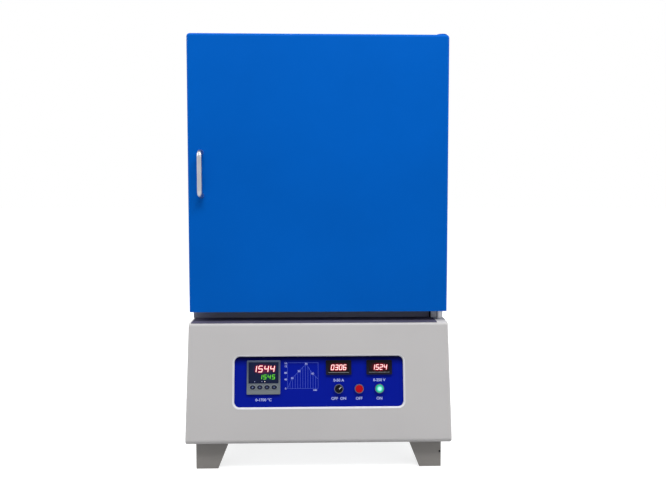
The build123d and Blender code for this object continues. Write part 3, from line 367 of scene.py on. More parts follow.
@dataclass(frozen=True)
class PaintedShadePlastic:
    """Moulded plastic with painted shade: its colour darkens from its foot to its head, as if shade
    fell on its top.
    """

    name: str
    foot_colour: tuple[float, float, float]
    head_colour: tuple[float, float, float]
    foot: float
    head: float
    roughness: float = 0.45
    specular: float = 0.2

    def make(self) -> Material:
        """Builds the material.

        Returns:
            The material.
        """
        nodes = Nodes(self.name)
        rise = nodes.add("ShaderNodeMapRange", {"From Min": self.foot, "From Max": self.head})
        nodes.link(nodes.position(), "Z", rise, "Value")
        nodes.tint(rise, self.foot_colour, self.head_colour, (0.0, 1.0))
        nodes.vary_roughness(nodes.noise(120, 3), self.roughness - 0.05, self.roughness + 0.08)
        nodes.fix("Specular IOR Level", self.specular)
        nodes.bump(nodes.noise(2600, 2), 0.25, 0.00008)
        return nodes.material


@dataclass(frozen=True)
class Fibre:
    """Vacuum-formed ceramic fibre: soft, pale and lightly pitted."""

    name: str
    colour: tuple[float, float, float]
    pits: float
    scorch: float

    def make(self) -> Material:
        """Builds the material.

        Returns:
            The material.
        """
        nodes = Nodes(self.name)
        warm = tuple(
            channel * (1 - self.scorch * share) for channel, share in zip(self.colour, (0.6, 1, 2))
        )
        nodes.tint(nodes.noise(16, 6), warm, self.colour)
        nodes.fix("Roughness", 0.95)
        nodes.fix("Specular IOR Level", 0.15)
        nodes.bump(nodes.noise(260, 8), self.pits, 0.0006)
        return nodes.material


@dataclass(frozen=True)
class Rope:
    """Braided fibre rope: two sets of slanting strands that cross."""

    name: str
    colour: tuple[float, float, float]
    strands: float = 110.0
    height: float = 0.0012

    def make(self) -> Material:
        """Builds the material.

        Returns:
            The material.
        """
        nodes = Nodes(self.name)
        nodes.tint(nodes.noise(45, 5), shade(self.colour, 0.86), self.colour)
        nodes.fix("Roughness", 0.95)
        nodes.fix("Specular IOR Level", 0.1)
        strands = []
        for turn in (math.pi / 4, -math.pi / 4):
            wave = nodes.add("ShaderNodeTexWave", {"Scale": self.strands, "Distortion": 0.6})
            nodes.link(nodes.mapping({"Rotation": (0, turn, 0)}), "Vector", wave, "Vector")
            strands.append((wave, "Fac"))
        nodes.bump(nodes.join("MAXIMUM", *strands), 0.8, self.height)
        return nodes.material


@dataclass(frozen=True)
class Light:
    """A lit surface: an LED segment, a lamp lens, or print that is given a faint painted glow."""

    name: str
    colour: tuple[float, float, float]
    strength: float
    ink: float = 0.06

    def make(self) -> Material:
        """Builds the material.

        Returns:
            The material.
        """
        nodes = Nodes(self.name)
        ripple = nodes.noise(800, 2)
        nodes.tint(ripple, shade(self.colour, 0.85), self.colour, socket="Emission Color")
        nodes.tint(ripple, shade(self.colour, self.ink * 0.85), shade(self.colour, self.ink))
        nodes.fix("Emission Strength", self.strength)
        nodes.fix("Roughness", 0.4)
        nodes.fix("Specular IOR Level", 0.05)
        return nodes.material


@dataclass(frozen=True)
class Glow:
    """A soft spot of light behind a display window."""

    centre: tuple[float, float, float]
    reach: float
    colour: tuple[float, float, float]
    stretch: float = 1.0


@dataclass(frozen=True)
class Lens:
    """A dark tinted window with soft spots of light behind it."""

    name: str
    colour: tuple[float, float, float]
    glows: tuple[Glow, ...]

    def material(self) -> Material:
        """Builds the material.

        Returns:
            The material.
        """
        nodes = Nodes(self.name)
        nodes.tint(nodes.noise(30, 4), shade(self.colour, 0.85), shade(self.colour, 1.2))
        nodes.fix("Roughness", 0.16)
        nodes.fix("Specular IOR Level", 0.12)
        light = None
        for glow in self.glows:
            spot = self.add_glow(nodes, glow)
            if light is None:
                light = spot
                continue
            both = nodes.add("ShaderNodeVectorMath")
            both.operation = "ADD"
            nodes.link(light, 0, both, 0)
            nodes.link(spot, 0, both, 1)
            light = both
        nodes.link(light, 0, nodes.shader, "Emission Color")
        nodes.fix("Emission Strength", 1.0)
        return nodes.material

    def add_glow(self, nodes: Nodes, glow: Glow) -> Node:
        """Adds one spot of light that fades from its centre.

        Args:
            nodes: the material's nodes.
            glow: the spot.

        Returns:
            The node that gives the spot's colour.
        """
        reach = (glow.reach * glow.stretch, glow.reach, glow.reach)
        mapping = nodes.mapping({"Location": glow.centre, "Scale": reach})
        mapping.vector_type = "TEXTURE"
        distance = nodes.add("ShaderNodeVectorMath")
        distance.operation = "LENGTH"
        nodes.link(mapping, "Vector", distance, 0)
        fade = nodes.add("ShaderNodeMapRange", {"To Min": 1.0, "To Max": 0.0})
        fade.interpolation_type = "SMOOTHERSTEP"
        nodes.link(distance, "Value", fade, "Value")
        return nodes.ramp(fade, (0, 0, 0), glow.colour, (0.0, 1.0))


class Finish(Enum):
    """Every finish on the furnace."""

    BLUE = Paint("blue_powder_coat", srgb(0, 93, 191), 0.45, 0.04, 0.22, 0.03)
    GREY = Paint("light_grey_powder_coat", srgb(193, 191, 191), 0.45, 0.02, 0.25, 0.3)
    # Painted highlight: a paler skin over the window's rolled lip, where it catches the light.
    TRIM = Paint("lip_highlight_paint", srgb(224, 224, 228), 0.5, 0.02, 0.2, 0.3)
    # Painted light: the hinge block is near white, lighter than the base's grey, so that it shows
    # bright in the door's shade.
    BLOCK = Paint("hinge_block_painted_light", srgb(236, 238, 238), 0.5, 0.03, 0.2, 0.2)
    # Painted shade: the feet are darker than the base's grey because they stand in the base's
    # shade.
    FOOT = Paint("foot_grey_painted_shade", srgb(142, 139, 136), 0.5, 0.05, 0.3, 0.2)
    # The neck's own grey, made darker and bluer than the base's as painted shade under the door's
    # overhang.
    NECK = Paint("neck_grey_painted_shade", srgb(155, 157, 176), 0.6, 0.08, 0.3, 0.15)
    # Painted shade: a dark strip on the base's top stands in for the door's shade there.
    SEAL = Paint("painted_shade_strip", srgb(80, 78, 98), 0.8, 0.1, 0.5, 0.1)
    # Painted shade: the panel darkens to black-blue towards its top, where the window's lip shades
    # it.
    PANEL = PaintedShadePlastic(
        "deep_blue_panel_painted_shade", srgb(8, 27, 153), srgb(2, 2, 38), 0.292, 0.3185, 0.4, 0.03
    )
    # Painted shade: the meter cases darken towards their tops, where the window's lip shades them.
    METER_BLACK = PaintedShadePlastic(
        "meter_case_painted_shade", srgb(30, 30, 48), srgb(9, 5, 10), 0.262, 0.306, 0.45, 0.08
    )
    # Painted shade: the controller's bezel darkens towards its top, as if shaded from above.
    BEZEL_GREY = PaintedShadePlastic(
        "instrument_grey_painted_shade", srgb(116, 124, 128), srgb(72, 82, 104), 0.222, 0.300
    )
    BLACK = Plastic("black_moulded_plastic", srgb(18, 18, 28), 0.45, 0.3, 0.08)
    RUBBER = Plastic("dark_key_rubber", srgb(26, 32, 54), 0.5, 0.4, 0.15)
    RED = Plastic("red_button_plastic", srgb(180, 8, 28), 0.35, 0.08, 0.1)
    SATIN = Metal("satin_aluminium", srgb(178, 178, 184), 0.34, (1, 1, 0.05), 0.06)
    HANDLE = FootedMetal("handle_satin_metal", srgb(178, 178, 184), srgb(0, 93, 191), -0.3378)
    RING = Metal("button_ring_metal", srgb(104, 108, 122), 0.4, (1, 1, 1), 0.1)
    PLATED = Metal("zinc_plated_steel", srgb(196, 198, 200), 0.3, (1, 30, 1), 0.1)
    HINGE = Metal("hinge_steel", srgb(172, 173, 178), 0.5, (1, 30, 1), 0.1)
    GALVANISED = Metal("galvanised_sheet", srgb(168, 172, 176), 0.42, (1, 1, 1), 0.16)
    CORE = Metal("lamination_steel", srgb(70, 70, 74), 0.6, (1, 60, 1), 0.3, 0.7)
    COPPER = Metal("varnished_copper", srgb(168, 92, 44), 0.35, (1, 1, 40), 0.3, 0.9)
    ALUMINIUM = Metal("bare_aluminium", srgb(190, 192, 195), 0.38, (30, 1, 1), 0.1)
    BRASS = Metal("bush_brass", srgb(200, 165, 90), 0.35, (1, 1, 20), 0.1)
    BOARD = Fibre("fibre_board", srgb(238, 236, 228), 0.6, 0.06)
    HEARTH = Fibre("hearth_ceramic", srgb(228, 222, 206), 0.4, 0.14)
    ROPE = Rope("rope_seal_fibre", srgb(222, 220, 212))
    CERAMIC = Fibre("fired_ceramic", srgb(240, 238, 230), 0.2, 0.05)
    ELEMENT = Plastic("molybdenum_disilicide", srgb(72, 74, 80), 0.38, 0.2)
    # Painted glow: the white print, the chart's print and the key signs give off a faint light on
    # top of their ink's colour.
    WHITE_PRINT = Light("white_print", srgb(182, 192, 242), 0.08, 1.0)
    CHART_PRINT = Light("chart_print", srgb(90, 110, 216), 0.08, 1.0)
    RED_FRINGE = Light("red_led_fringe", (0.54, 0.0, 0.012), 1.0)
    RED_CORE = Light("red_led_core", (1.0, 0.86, 0.86), 1.5)
    GREEN_FRINGE = Light("green_led_fringe", (0.01, 0.16, 0.03), 1.0)
    GREEN_DIGIT = Light("green_led_core", (0.20, 0.80, 0.04), 1.15)
    WHITE_MARK = Plastic("white_pointer", srgb(235, 235, 235), 0.4, 0.1)
    KEY_RING = Plastic("key_ring_grey", srgb(150, 156, 160), 0.4, 0.2)
    KEY_SIGN = Light("key_sign_print", srgb(120, 136, 180), 0.1, 1.0)

    def material(self) -> Material:
        """The finish's material, made the first time that it is asked for."""
        found = bpy.data.materials.get(self.value.name)
        return found or self.value.make()


SLOT_FINISH = {
    "blue_paint": Finish.BLUE,
    "grey_paint": Finish.GREY,
    "foot_paint": Finish.FOOT,
    "neck_paint": Finish.NECK,
    "panel_paint": Finish.PANEL,
    "instrument_grey": Finish.BEZEL_GREY,
    "black_plastic": Finish.BLACK,
    "key_rubber": Finish.RUBBER,
    "red_plastic": Finish.RED,
    "green_lens": Finish.BLACK,
    "plated_steel": Finish.PLATED,
    "galvanised": Finish.GALVANISED,
    "satin_metal": Finish.SATIN,
    "aluminium": Finish.ALUMINIUM,
    "core_steel": Finish.CORE,
    "copper_coil": Finish.COPPER,
    "fibre_board": Finish.BOARD,
    "hearth_ceramic": Finish.HEARTH,
    "element_ceramic": Finish.ELEMENT,
    "white_ceramic": Finish.CERAMIC,
    "gasket_rope": Finish.ROPE,
    "bush_brass": Finish.BRASS,
    "gland_plastic": Finish.BLACK,
    "magnet_black": Finish.BLACK,
}


# ------------------------------------------------------------------ places and small pieces
@dataclass(frozen=True)
class Plane:
    """A flat face to build on: right and up lie in it, out points away from it."""

    origin: Vector
    right: Vector
    up: Vector

    def matrix(self, x: float = 0, y: float = 0, rise: float = 0) -> Matrix:
        """Where a piece goes that was built flat on the XY plane.

        Args:
            x: metres to the right of the origin.
            y: metres up the face.
            rise: metres out of the face.

        Returns:
            The placing matrix.
        """
        out = self.right.cross(self.up)
        spot = self.origin + self.right * x + self.up * y + out * rise
        turn = Matrix((self.right, self.up, out)).transposed().to_4x4()
        return Matrix.Translation(spot) @ turn

    def point(self, x: float, y: float, rise: float) -> tuple[float, float, float]:
        """A place on the face, in the furnace's own frame."""
        return tuple(self.matrix(x, y, rise).translation)


def standing_face(origin: Vector, right: tuple[float, float, float]) -> Plane:
    """A standing face.

    Args:
        origin: a place on it.
        right: which way is right for someone who looks at it.

    Returns:
        The plane.
    """
    return Plane(origin, Vector(right), Vector((0, 0, 1)))


def control_plane(joints: list[dict]) -> Plane:
    """The control panel's face, with its origin under the window's centre.

    Args:
        joints: the frame's joints, of which the selector turns about the panel's normal.

    Returns:
        The plane.
    """
    joint = next(joint for joint in joints if joint["name"] == "selector_turn")
    out = Vector(joint["axis"])
    right = Vector((1, 0, 0))
    up = out.cross(right)
    spot = Vector(joint["pos_m"])
    return Plane(spot - right * COLUMNS[0] - up * BUTTON_ROW, right, up)


def add_object(name: str, data: bpy.types.ID) -> bpy.types.Object:
    """Puts a new object in the scene.

    Args:
        name: its name.
        data: its mesh, lamp, camera or curve.

    Returns:
        The object.
    """
    made = bpy.data.objects.new(name, data)
    bpy.context.scene.collection.objects.link(made)
    return made


def finish_piece(
    name: str,
    mesh: BMesh,
    finish: Finish,
    place: Matrix | None = None,
    smooth: float | None = 40,
    body: str = CABINET,
) -> bpy.types.Object:
    """Turns a bmesh into a finished piece that rides on a body.

    Args:
        name: the piece's name.
        mesh: its shape, freed here.
        finish: its material.
        place: where it goes, applied to its mesh.
        smooth: edges flatter than this many degrees are shaded smooth.
        body: the body that it rides on.

    Returns:
        The piece's object.
    """
    if place is not None:
        mesh.transform(place)
    bmesh.ops.recalc_face_normals(mesh, faces=mesh.faces)
    data = bpy.data.meshes.new(name)
    mesh.to_mesh(data)
    mesh.free()
    if smooth is not None:
        data.polygons.foreach_set("use_smooth", [True] * len(data.polygons))
        data.set_sharp_from_angle(angle=math.radians(smooth))
    data.materials.append(finish.material())
    piece = add_object(name, data)
    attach(piece, body)
    LOG.info("built %s on %s", name, body)
    return piece


def bevel(mesh: BMesh, edges: list, offset: float, segments: int) -> list:
    """Rounds or cuts off edges.

    Args:
        mesh: the bmesh that they belong to.
        edges: the edges.
        offset: how far the cut reaches.
        segments: how many facets it has.

    Returns:
        The faces that it touched.
    """
    return bmesh.ops.bevel(
        mesh, geom=edges, offset=offset, segments=segments, profile=0.5, affect="EDGES", material=-1
    )["faces"]


def spin(mesh: BMesh, angle: float, verts: list) -> None:
    """Turns vertices about the Z axis.

    Args:
        mesh: the bmesh that they belong to.
        angle: radians.
        verts: the vertices.
    """
    turn = Matrix.Rotation(angle, 3, "Z")
    bmesh.ops.rotate(mesh, cent=(0, 0, 0), matrix=turn, verts=verts)


def thicken(mesh: BMesh, reach: tuple[float, float, float]) -> None:
    """Draws flat faces out into a solid.

    Args:
        mesh: the faces.
        reach: how far they are drawn out along each axis.
    """
    drawn = bmesh.ops.extrude_face_region(mesh, geom=mesh.faces[:])["geom"]
    moved = [item for item in drawn if isinstance(item, BMVert)]
    bmesh.ops.translate(mesh, vec=reach, verts=moved)


def add_block(
    mesh: BMesh, size: tuple, centre: tuple, turn: float = 0, corner: float = 0
) -> None:
    """Adds a flat block, its long corners cut off if asked.

    Args:
        mesh: the bmesh that it is added to.
        size: its length, width and height.
        centre: its centre.
        turn: radians that it is turned in its own plane.
        corner: how much is cut off its upright corners.
    """
    made = bmesh.ops.create_cube(mesh, size=1.0)["verts"]
    bmesh.ops.scale(mesh, vec=size, verts=made)
    if corner:
        upright = {
            edge for vert in made for edge in vert.link_edges
            if abs(edge.verts[0].co.z - edge.verts[1].co.z) > size[2] / 2
        }
        cut = bevel(mesh, list(upright), corner, 1)
        made = list({vert for face in cut for vert in face.verts})
    spin(mesh, turn, made)
    bmesh.ops.translate(mesh, vec=centre, verts=made)


def add_disc(
    mesh: BMesh, radius: float, height: float, edge: float, centre: tuple = (0, 0, 0)
) -> None:
    """Adds an upright disc, its top edge rounded.

    Args:
        mesh: the bmesh that it is added to.
        radius: its radius.
        height: its height.
        edge: the rounding of its top edge.
        centre: the centre of its foot.
    """
    made = bmesh.ops.create_cone(
        mesh, cap_ends=True, segments=DISC_SIDES, radius1=radius, radius2=radius, depth=height
    )["verts"]
    bmesh.ops.translate(mesh, vec=(centre[0], centre[1], centre[2] + height / 2), verts=made)
    top = centre[2] + height * 0.99
    rim = {
        line for vert in made for line in vert.link_edges
        if min(line.verts[0].co.z, line.verts[1].co.z) > top
    }
    bevel(mesh, list(rim), edge, 3)


def text_mesh(words: str, height: float, thickness: float) -> BMesh:
    """Raised words, centred on the origin.

    Args:
        words: what they say.
        height: the height of a capital.
        thickness: how far they stand up.

    Returns:
        The words as a bmesh.
    """
    curve = bpy.data.curves.new("words", "FONT")
    curve.body = words
    curve.size = height / CAPITAL_SHARE
    curve.align_x = "CENTER"
    curve.align_y = "CENTER"
    curve.extrude = thickness / 2
    curve.offset = height * BOLDNESS
    curve.resolution_u = 3
    carrier = add_object("words", curve)
    bpy.context.view_layer.update()
    data = bpy.data.meshes.new_from_object(carrier)
    mesh = bmesh.new()
    mesh.from_mesh(data)
    bpy.data.objects.remove(carrier)
    bpy.data.curves.remove(curve)
    bpy.data.meshes.remove(data)
    bmesh.ops.remove_doubles(mesh, verts=mesh.verts, dist=height / 500)
    bmesh.ops.translate(mesh, vec=(0, 0, thickness / 2), verts=mesh.verts)
    return mesh


# ------------------------------------------------------------------ instruments
class Segment(Enum):
    """The seven strokes of a digit: across, up, and whether it stands."""

    TOP = (0, 1, False)
    MIDDLE = (0, 0, False)
    BOTTOM = (0, -1, False)
    UPPER_LEFT = (-1, 0.5, True)
    UPPER_RIGHT = (1, 0.5, True)
    LOWER_LEFT = (-1, -0.5, True)
    LOWER_RIGHT = (1, -0.5, True)


LIT = {
    "0": "TOP BOTTOM UPPER_LEFT UPPER_RIGHT LOWER_LEFT LOWER_RIGHT",
    "1": "UPPER_RIGHT LOWER_RIGHT",
    "2": "TOP MIDDLE BOTTOM UPPER_RIGHT LOWER_LEFT",
    "3": "TOP MIDDLE BOTTOM UPPER_RIGHT LOWER_RIGHT",
    "4": "MIDDLE UPPER_LEFT UPPER_RIGHT LOWER_RIGHT",
    "5": "TOP MIDDLE BOTTOM UPPER_LEFT LOWER_RIGHT",
    "6": "TOP MIDDLE BOTTOM UPPER_LEFT LOWER_LEFT LOWER_RIGHT",
}


@dataclass
class Digits:
    """A row of lit seven-stroke digits that leans a little to the right."""

    figures: str
    height: float
    width: float
    pitch: float
    stroke: float = 3 * MM
    lean: float = 0.14  # how far its top leans over for each unit of its height
    thickness: float = 0.1 * MM
    swell: float = 0.0
    reach_share: float = 0.5  # how far a stroke runs past its corners, as a share of its width
    corner_share: float = 0.42

    def build(self) -> BMesh:
        """Builds the row flat, centred on the origin.

        Returns:
            The row as a bmesh.
        """
        mesh = bmesh.new()
        for place, figure in enumerate(self.figures):
            middle = (place - (len(self.figures) - 1) / 2) * self.pitch
            for name in LIT[figure].split():
                self.add_stroke(mesh, Segment[name], middle)
        shear = Matrix(((1, self.lean, 0, 0), (0, 1, 0, 0), (0, 0, 1, 0), (0, 0, 0, 1)))
        bmesh.ops.transform(mesh, matrix=shear, verts=mesh.verts)
        return mesh

    def add_stroke(self, mesh: BMesh, segment: Segment, middle: float) -> None:
        """Adds one stroke.

        Args:
            mesh: the row's bmesh.
            segment: which stroke it is.
            middle: the digit's centre line.
        """
        across, up, stands = segment.value
        half_wide = (self.width - self.stroke + self.swell) / 2
        half_tall = (self.height - self.stroke + self.swell) / 2
        length = (half_tall if stands else 2 * half_wide) + self.stroke * self.reach_share
        centre = (middle + across * half_wide, up * half_tall, self.thickness / 2)
        turn = math.pi / 2 if stands else 0
        size = (length, self.stroke, self.thickness)
        add_block(mesh, size, centre, turn, self.stroke * self.corner_share)


def lit_row(
    name: str, digits: Digits, fringe: float, core: float, finishes: tuple[Finish, Finish],
    plane: Plane, spot: tuple[float, float, float],
) -> None:
    """Builds a row of lit digits: bright strokes over a wider, deeper fringe.

    Args:
        name: the row's name.
        digits: the row.
        fringe: the fringe's stroke width.
        core: the bright stroke's width.
        finishes: the fringe's finish and the bright stroke's.
        plane: the panel's face.
        spot: the row's centre across and up the face, and the glass's rise.
    """
    x, y, glass = spot
    for layer, stroke, finish, rise in (
        ("fringe", fringe, finishes[0], 0), ("strokes", core, finishes[1], digits.thickness)
    ):
        row = replace(digits, stroke=stroke, swell=stroke - core)
        place = plane.matrix(x, y, glass + PRINT_GAP + rise)
        finish_piece(f"{name}_{layer}", row.build(), finish, place, None)


@dataclass
class ControllerFace:
    """What shows on the temperature controller: lit figures, lamps, key rings and key signs."""

    plane: Plane
    front: float = 7 * MM  # bezel above the panel
    glass: float = 6 * MM  # the screen's glass above the panel
    key_top: float = 8.2 * MM
    key_drop: float = 27.5 * MM
    key_pitch: float = 20.4 * MM
    key_size: tuple[float, float] = (16 * MM, 12 * MM)
    ring_growth: tuple[float, float] = (2.6 * MM, 0.7 * MM)  # the ring's edges past the key's size
    ring_height: float = 0.5 * MM
    sign_radius: float = 2.4 * MM
    lamp_row: float = 0.8 * MM
    lamp_size: tuple[float, float, float] = (1.1 * MM, 0.25 * MM, 0.1 * MM)
    lamps: tuple = (
        (-184.5 * MM, Finish.WHITE_PRINT),
        (-163.6 * MM, Finish.WHITE_PRINT),
        (-155.1 * MM, Finish.RED_CORE),
    )

    def build(self) -> None:
        """Builds every piece on the controller."""
        self.build_figures()
        self.build_lamps()
        for number in range(4):
            x = CONTROLLER_AT[0] + (number - 1.5) * self.key_pitch
            y = CONTROLLER_AT[1] - self.key_drop
            self.build_ring(number, x, y)
            self.build_sign(number, x, y)

    def build_figures(self) -> None:
        """Builds the measured value in red over the set value in green."""
        lit_row(
            "measured_figures", Digits("1544", 18.4 * MM, 12 * MM, 16.9 * MM), 6.2 * MM, 1.75 * MM,
            (Finish.RED_FRINGE, Finish.RED_CORE), self.plane, (-159.2 * MM, 36.6 * MM, self.glass),
        )
        lit_row(
            "set_figures", Digits("1545", 12.8 * MM, 8.4 * MM, 12.2 * MM), 3.6 * MM, 1.3 * MM,
            (Finish.GREEN_FRINGE, Finish.GREEN_DIGIT), self.plane,
            (-149 * MM, 13.8 * MM, self.glass),
        )

    def build_lamps(self) -> None:
        """Builds the small lamps under the figures."""
        for number, (x, finish) in enumerate(self.lamps, start=1):
            mesh = bmesh.new()
            add_disc(mesh, *self.lamp_size)
            place = self.plane.matrix(x, self.lamp_row, self.glass + PRINT_GAP)
            finish_piece(f"controller_lamp_{number}", mesh, finish, place)

    def build_ring(self, number: int, x: float, y: float) -> None:
        """Builds the ring round one key.

        Args:
            number: the key, counted from 0.
            x: the key's centre across the panel.
            y: the key's centre up the panel.
        """
        mesh = bmesh.new()
        wide, tall = self.key_size
        for growth in self.ring_growth:
            loop = bmesh.ops.create_circle(mesh, segments=48, radius=0.5)["verts"]
            bmesh.ops.scale(mesh, vec=(wide + growth, tall + growth, 1), verts=loop)
        bmesh.ops.bridge_loops(mesh, edges=mesh.edges)
        thicken(mesh, (0, 0, self.ring_height))
        place = self.plane.matrix(x, y, self.front)
        name = f"key_ring_{number + 1}"
        finish_piece(name, mesh, Finish.KEY_RING, place)

    def build_sign(self, number: int, x: float, y: float) -> None:
        """Builds the plain sign on one key: a square on the first, arrowheads on the others.

        Args:
            number: the key, counted from 0.
            x: the key's centre across the panel.
            y: the key's centre up the panel.
        """
        mesh = bmesh.new()
        corners = 3 if number else 4
        bmesh.ops.create_circle(mesh, cap_ends=True, segments=corners, radius=self.sign_radius)
        spin(mesh, number * math.pi / 2, mesh.verts)
        thicken(mesh, (0, 0, PRINT))
        place = self.plane.matrix(x, y, self.key_top + PRINT_GAP)
        name, key = f"key_sign_{number + 1}", f"key_{number + 1}"
        finish_piece(name, mesh, Finish.KEY_SIGN, place, None, key)


@dataclass
class MeterFace:
    """A panel meter's lit figures, with the pale sill under them."""

    plane: Plane
    name: str
    figures: str
    column: float
    glass: float = 5.5 * MM
    figures_lift: float = 0.6 * MM
    sill_rise: float = 6.03 * MM
    sill_drop: float = 13.8 * MM
    sill_size: tuple[float, float, float] = (59 * MM, 0.9 * MM, 0.4 * MM)
    sill_corner: float = 0.3 * MM

    def build(self) -> None:
        """Builds the figures on the meter's glass and the sill."""
        lit_row(
            f"{self.name}_figures", Digits(self.figures, 15 * MM, 8.8 * MM, 11.6 * MM),
            5.3 * MM, 1.5 * MM, (Finish.RED_FRINGE, Finish.RED_CORE), self.plane,
            (self.column, METER_ROW + self.figures_lift, self.glass),
        )
        sill = bmesh.new()
        add_block(sill, self.sill_size, (0, 0, self.sill_size[2] / 2), 0, self.sill_corner)
        place = self.plane.matrix(self.column, METER_ROW - self.sill_drop, self.sill_rise)
        finish_piece(f"{self.name}_sill", sill, Finish.KEY_RING, place)


@dataclass
class ChartPrint:
    """The heating curve printed on the panel, with its axes, bars and numbers."""

    plane: Plane
    left: float = -90.6 * MM
    right: float = -2.6 * MM
    bottom: float = -20.0 * MM
    top: float = 52.9 * MM
    line: float = 0.8 * MM
    frame_share: float = 0.8  # the frame's and the bars' widths as shares of the curve's
    bar_share: float = 0.9
    number_height: float = 5.4 * MM
    step_height: float = 5.6 * MM
    curve: tuple = ((0, 0), (0.15, 0.40), (0.375, 0.67), (0.605, 0.95), (0.82, 0.57), (1, 0.36))
    bars: int = 11
    ticks: tuple = ((0, "0"), (0.36, "40"), (0.62, "80"), (0.88, "12"), (1, "16"))
    steps: tuple = ("10", "20", "30", "40")

    def spot(self, across: float, up: float) -> tuple[float, float]:
        """A place on the panel from a place on the chart.

        Args:
            across: share of the chart's width.
            up: share of its height.

        Returns:
            Metres across and up the panel.
        """
        return (
            self.left + (self.right - self.left) * across,
            self.bottom + (self.top - self.bottom) * up,
        )

    def height_at(self, across: float) -> float:
        """The curve's height.

        Args:
            across: share of the chart's width.

        Returns:
            Share of its height.
        """
        for (x0, y0), (x1, y1) in zip(self.curve, self.curve[1:]):
            if across <= x1:
                return y0 + (y1 - y0) * (across - x0) / (x1 - x0)
        return self.curve[-1][1]

    def add_line(self, mesh: BMesh, start: tuple, end: tuple, width: float) -> None:
        """Adds one printed line between two places on the chart.

        Args:
            mesh: the bmesh that it is added to.
            start: its start in shares of the chart.
            end: its end in shares of the chart.
            width: its width.
        """
        (x0, y0), (x1, y1) = self.spot(*start), self.spot(*end)
        length = math.hypot(x1 - x0, y1 - y0) + width
        centre = ((x0 + x1) / 2, (y0 + y1) / 2, PRINT / 2)
        add_block(mesh, (length, width, PRINT), centre, math.atan2(y1 - y0, x1 - x0))

    def build(self) -> None:
        """Builds the printed lines and the numbers beside them."""
        lines = bmesh.new()
        for start, end in (((0, 0), (1, 0)), ((0, 0), (0, 1)), ((0, 1), (1, 1)), ((1, 0), (1, 1))):
            self.add_line(lines, start, end, self.line * self.frame_share)
        for start, end in zip(self.curve, self.curve[1:]):
            self.add_line(lines, start, end, self.line)
        for bar in range(1, self.bars + 1):
            across = bar / (self.bars + 1)
            top = (across, self.height_at(across))
            self.add_line(lines, (across, 0), top, self.line * self.bar_share)
        place = self.plane.matrix(0, 0, PRINT_GAP)
        finish_piece("chart_lines", lines, Finish.CHART_PRINT, place, None)
        for number, (up, words) in enumerate(self.ticks, start=1):
            spot = self.spot(-0.06, up * 0.98)
            print_words(f"chart_number_{number}", words, self.number_height, self.plane, spot)
        for number, (corner, words) in enumerate(zip(self.curve[1:5], self.steps), start=1):
            spot = self.spot(*corner)
            print_words(f"chart_step_{number}", words, self.step_height, self.plane, spot)
        print_words("chart_unit", "min", self.number_height, self.plane, self.spot(0.9, -0.06))


def print_words(
    name: str, words: str, height: float, plane: Plane, spot: tuple[float, float]
) -> None:
    """Prints plain words or numbers in white on the panel.

    Args:
        name: the piece's name.
        words: what they say.
        height: the height of a capital.
        plane: the panel's face.
        spot: their centre across and up the face.
    """
    mesh = text_mesh(words, height, PRINT)
    place = plane.matrix(*spot, PRINT_GAP)
    finish_piece(name, mesh, Finish.WHITE_PRINT, place, None)


@dataclass
class ControlRow:
    """The selector's pointer and the words under the controls."""

    plane: Plane
    words_drop: float = 28.2 * MM
    words_height: float = 8 * MM
    meter_words_row: float = 2.4 * MM
    controller_words_row: float = -51.5 * MM
    grip_top: float = 19 * MM
    mark_size: tuple[float, float, float] = (1.8 * MM, 9 * MM, 0.3 * MM)
    mark_reach: float = 5 * MM  # from the knob's axis to the mark's middle

    def build(self) -> None:
        """Builds the pointer and the words."""
        mark = bmesh.new()
        add_block(mark, self.mark_size, (0, self.mark_reach, self.mark_size[2] / 2))
        spin(mark, math.radians(-45), mark.verts)
        place = self.plane.matrix(COLUMNS[0], BUTTON_ROW, self.grip_top)
        finish_piece(
            "selector_mark", mark, Finish.WHITE_MARK, place, body="selector"
        )
        low = BUTTON_ROW - self.words_drop
        for name, words, spot in (
            ("selector_words", "OFF  ON", (COLUMNS[0], low)),
            ("stop_words", "OFF", (COLUMNS[1], low)),
            ("start_words", "ON", (COLUMNS[2], low)),
            ("ammeter_words", "0-50 A", (COLUMNS[0], self.meter_words_row)),
            ("voltmeter_words", "0-250 V", (COLUMNS[2], self.meter_words_row)),
            ("controller_words", "0-1700 °C", (CONTROLLER_AT[0], self.controller_words_row)),
        ):
            print_words(name, words, self.words_height, self.plane, spot)


# ------------------------------------------------------------------ painted highlight and shade, hinge block, stud and screws
def rounded_loop(
    mesh: BMesh, wide: float, tall: float, corner: float, rise: float
) -> list:
    """Adds a rounded rectangle's outline as a loop of edges.

    Args:
        mesh: the bmesh that it is added to.
        wide: its width.
        tall: its height.
        corner: its corners' radius.
        rise: its height above the XY plane.

    Returns:
        The loop's vertices.
    """
    sides = 40
    made = bmesh.ops.create_circle(mesh, segments=sides, radius=corner)["verts"]
    spin(mesh, math.pi / sides, made)
    for vert in made:
        vert.co.x += math.copysign(wide / 2 - corner, vert.co.x)
        vert.co.y += math.copysign(tall / 2 - corner, vert.co.y)
        vert.co.z += rise
    return made


def skin_section(centre: tuple, radius: float, skin: float, turns: list) -> list:
    """The section of a thin skin over a rounded edge.

    Args:
        centre: the rounding's centre.
        radius: the rounding's radius.
        skin: how far the skin stands off it.
        turns: the angles of its corners, in radians.

    Returns:
        The section's corners, out along the skin's outside and back along its inside.
    """
    return [
        (centre[0] + reach * math.cos(turn), centre[1] + reach * math.sin(turn))
        for reach, run in ((radius + skin, turns), (radius + PRINT_GAP, turns[::-1]))
        for turn in run
    ]


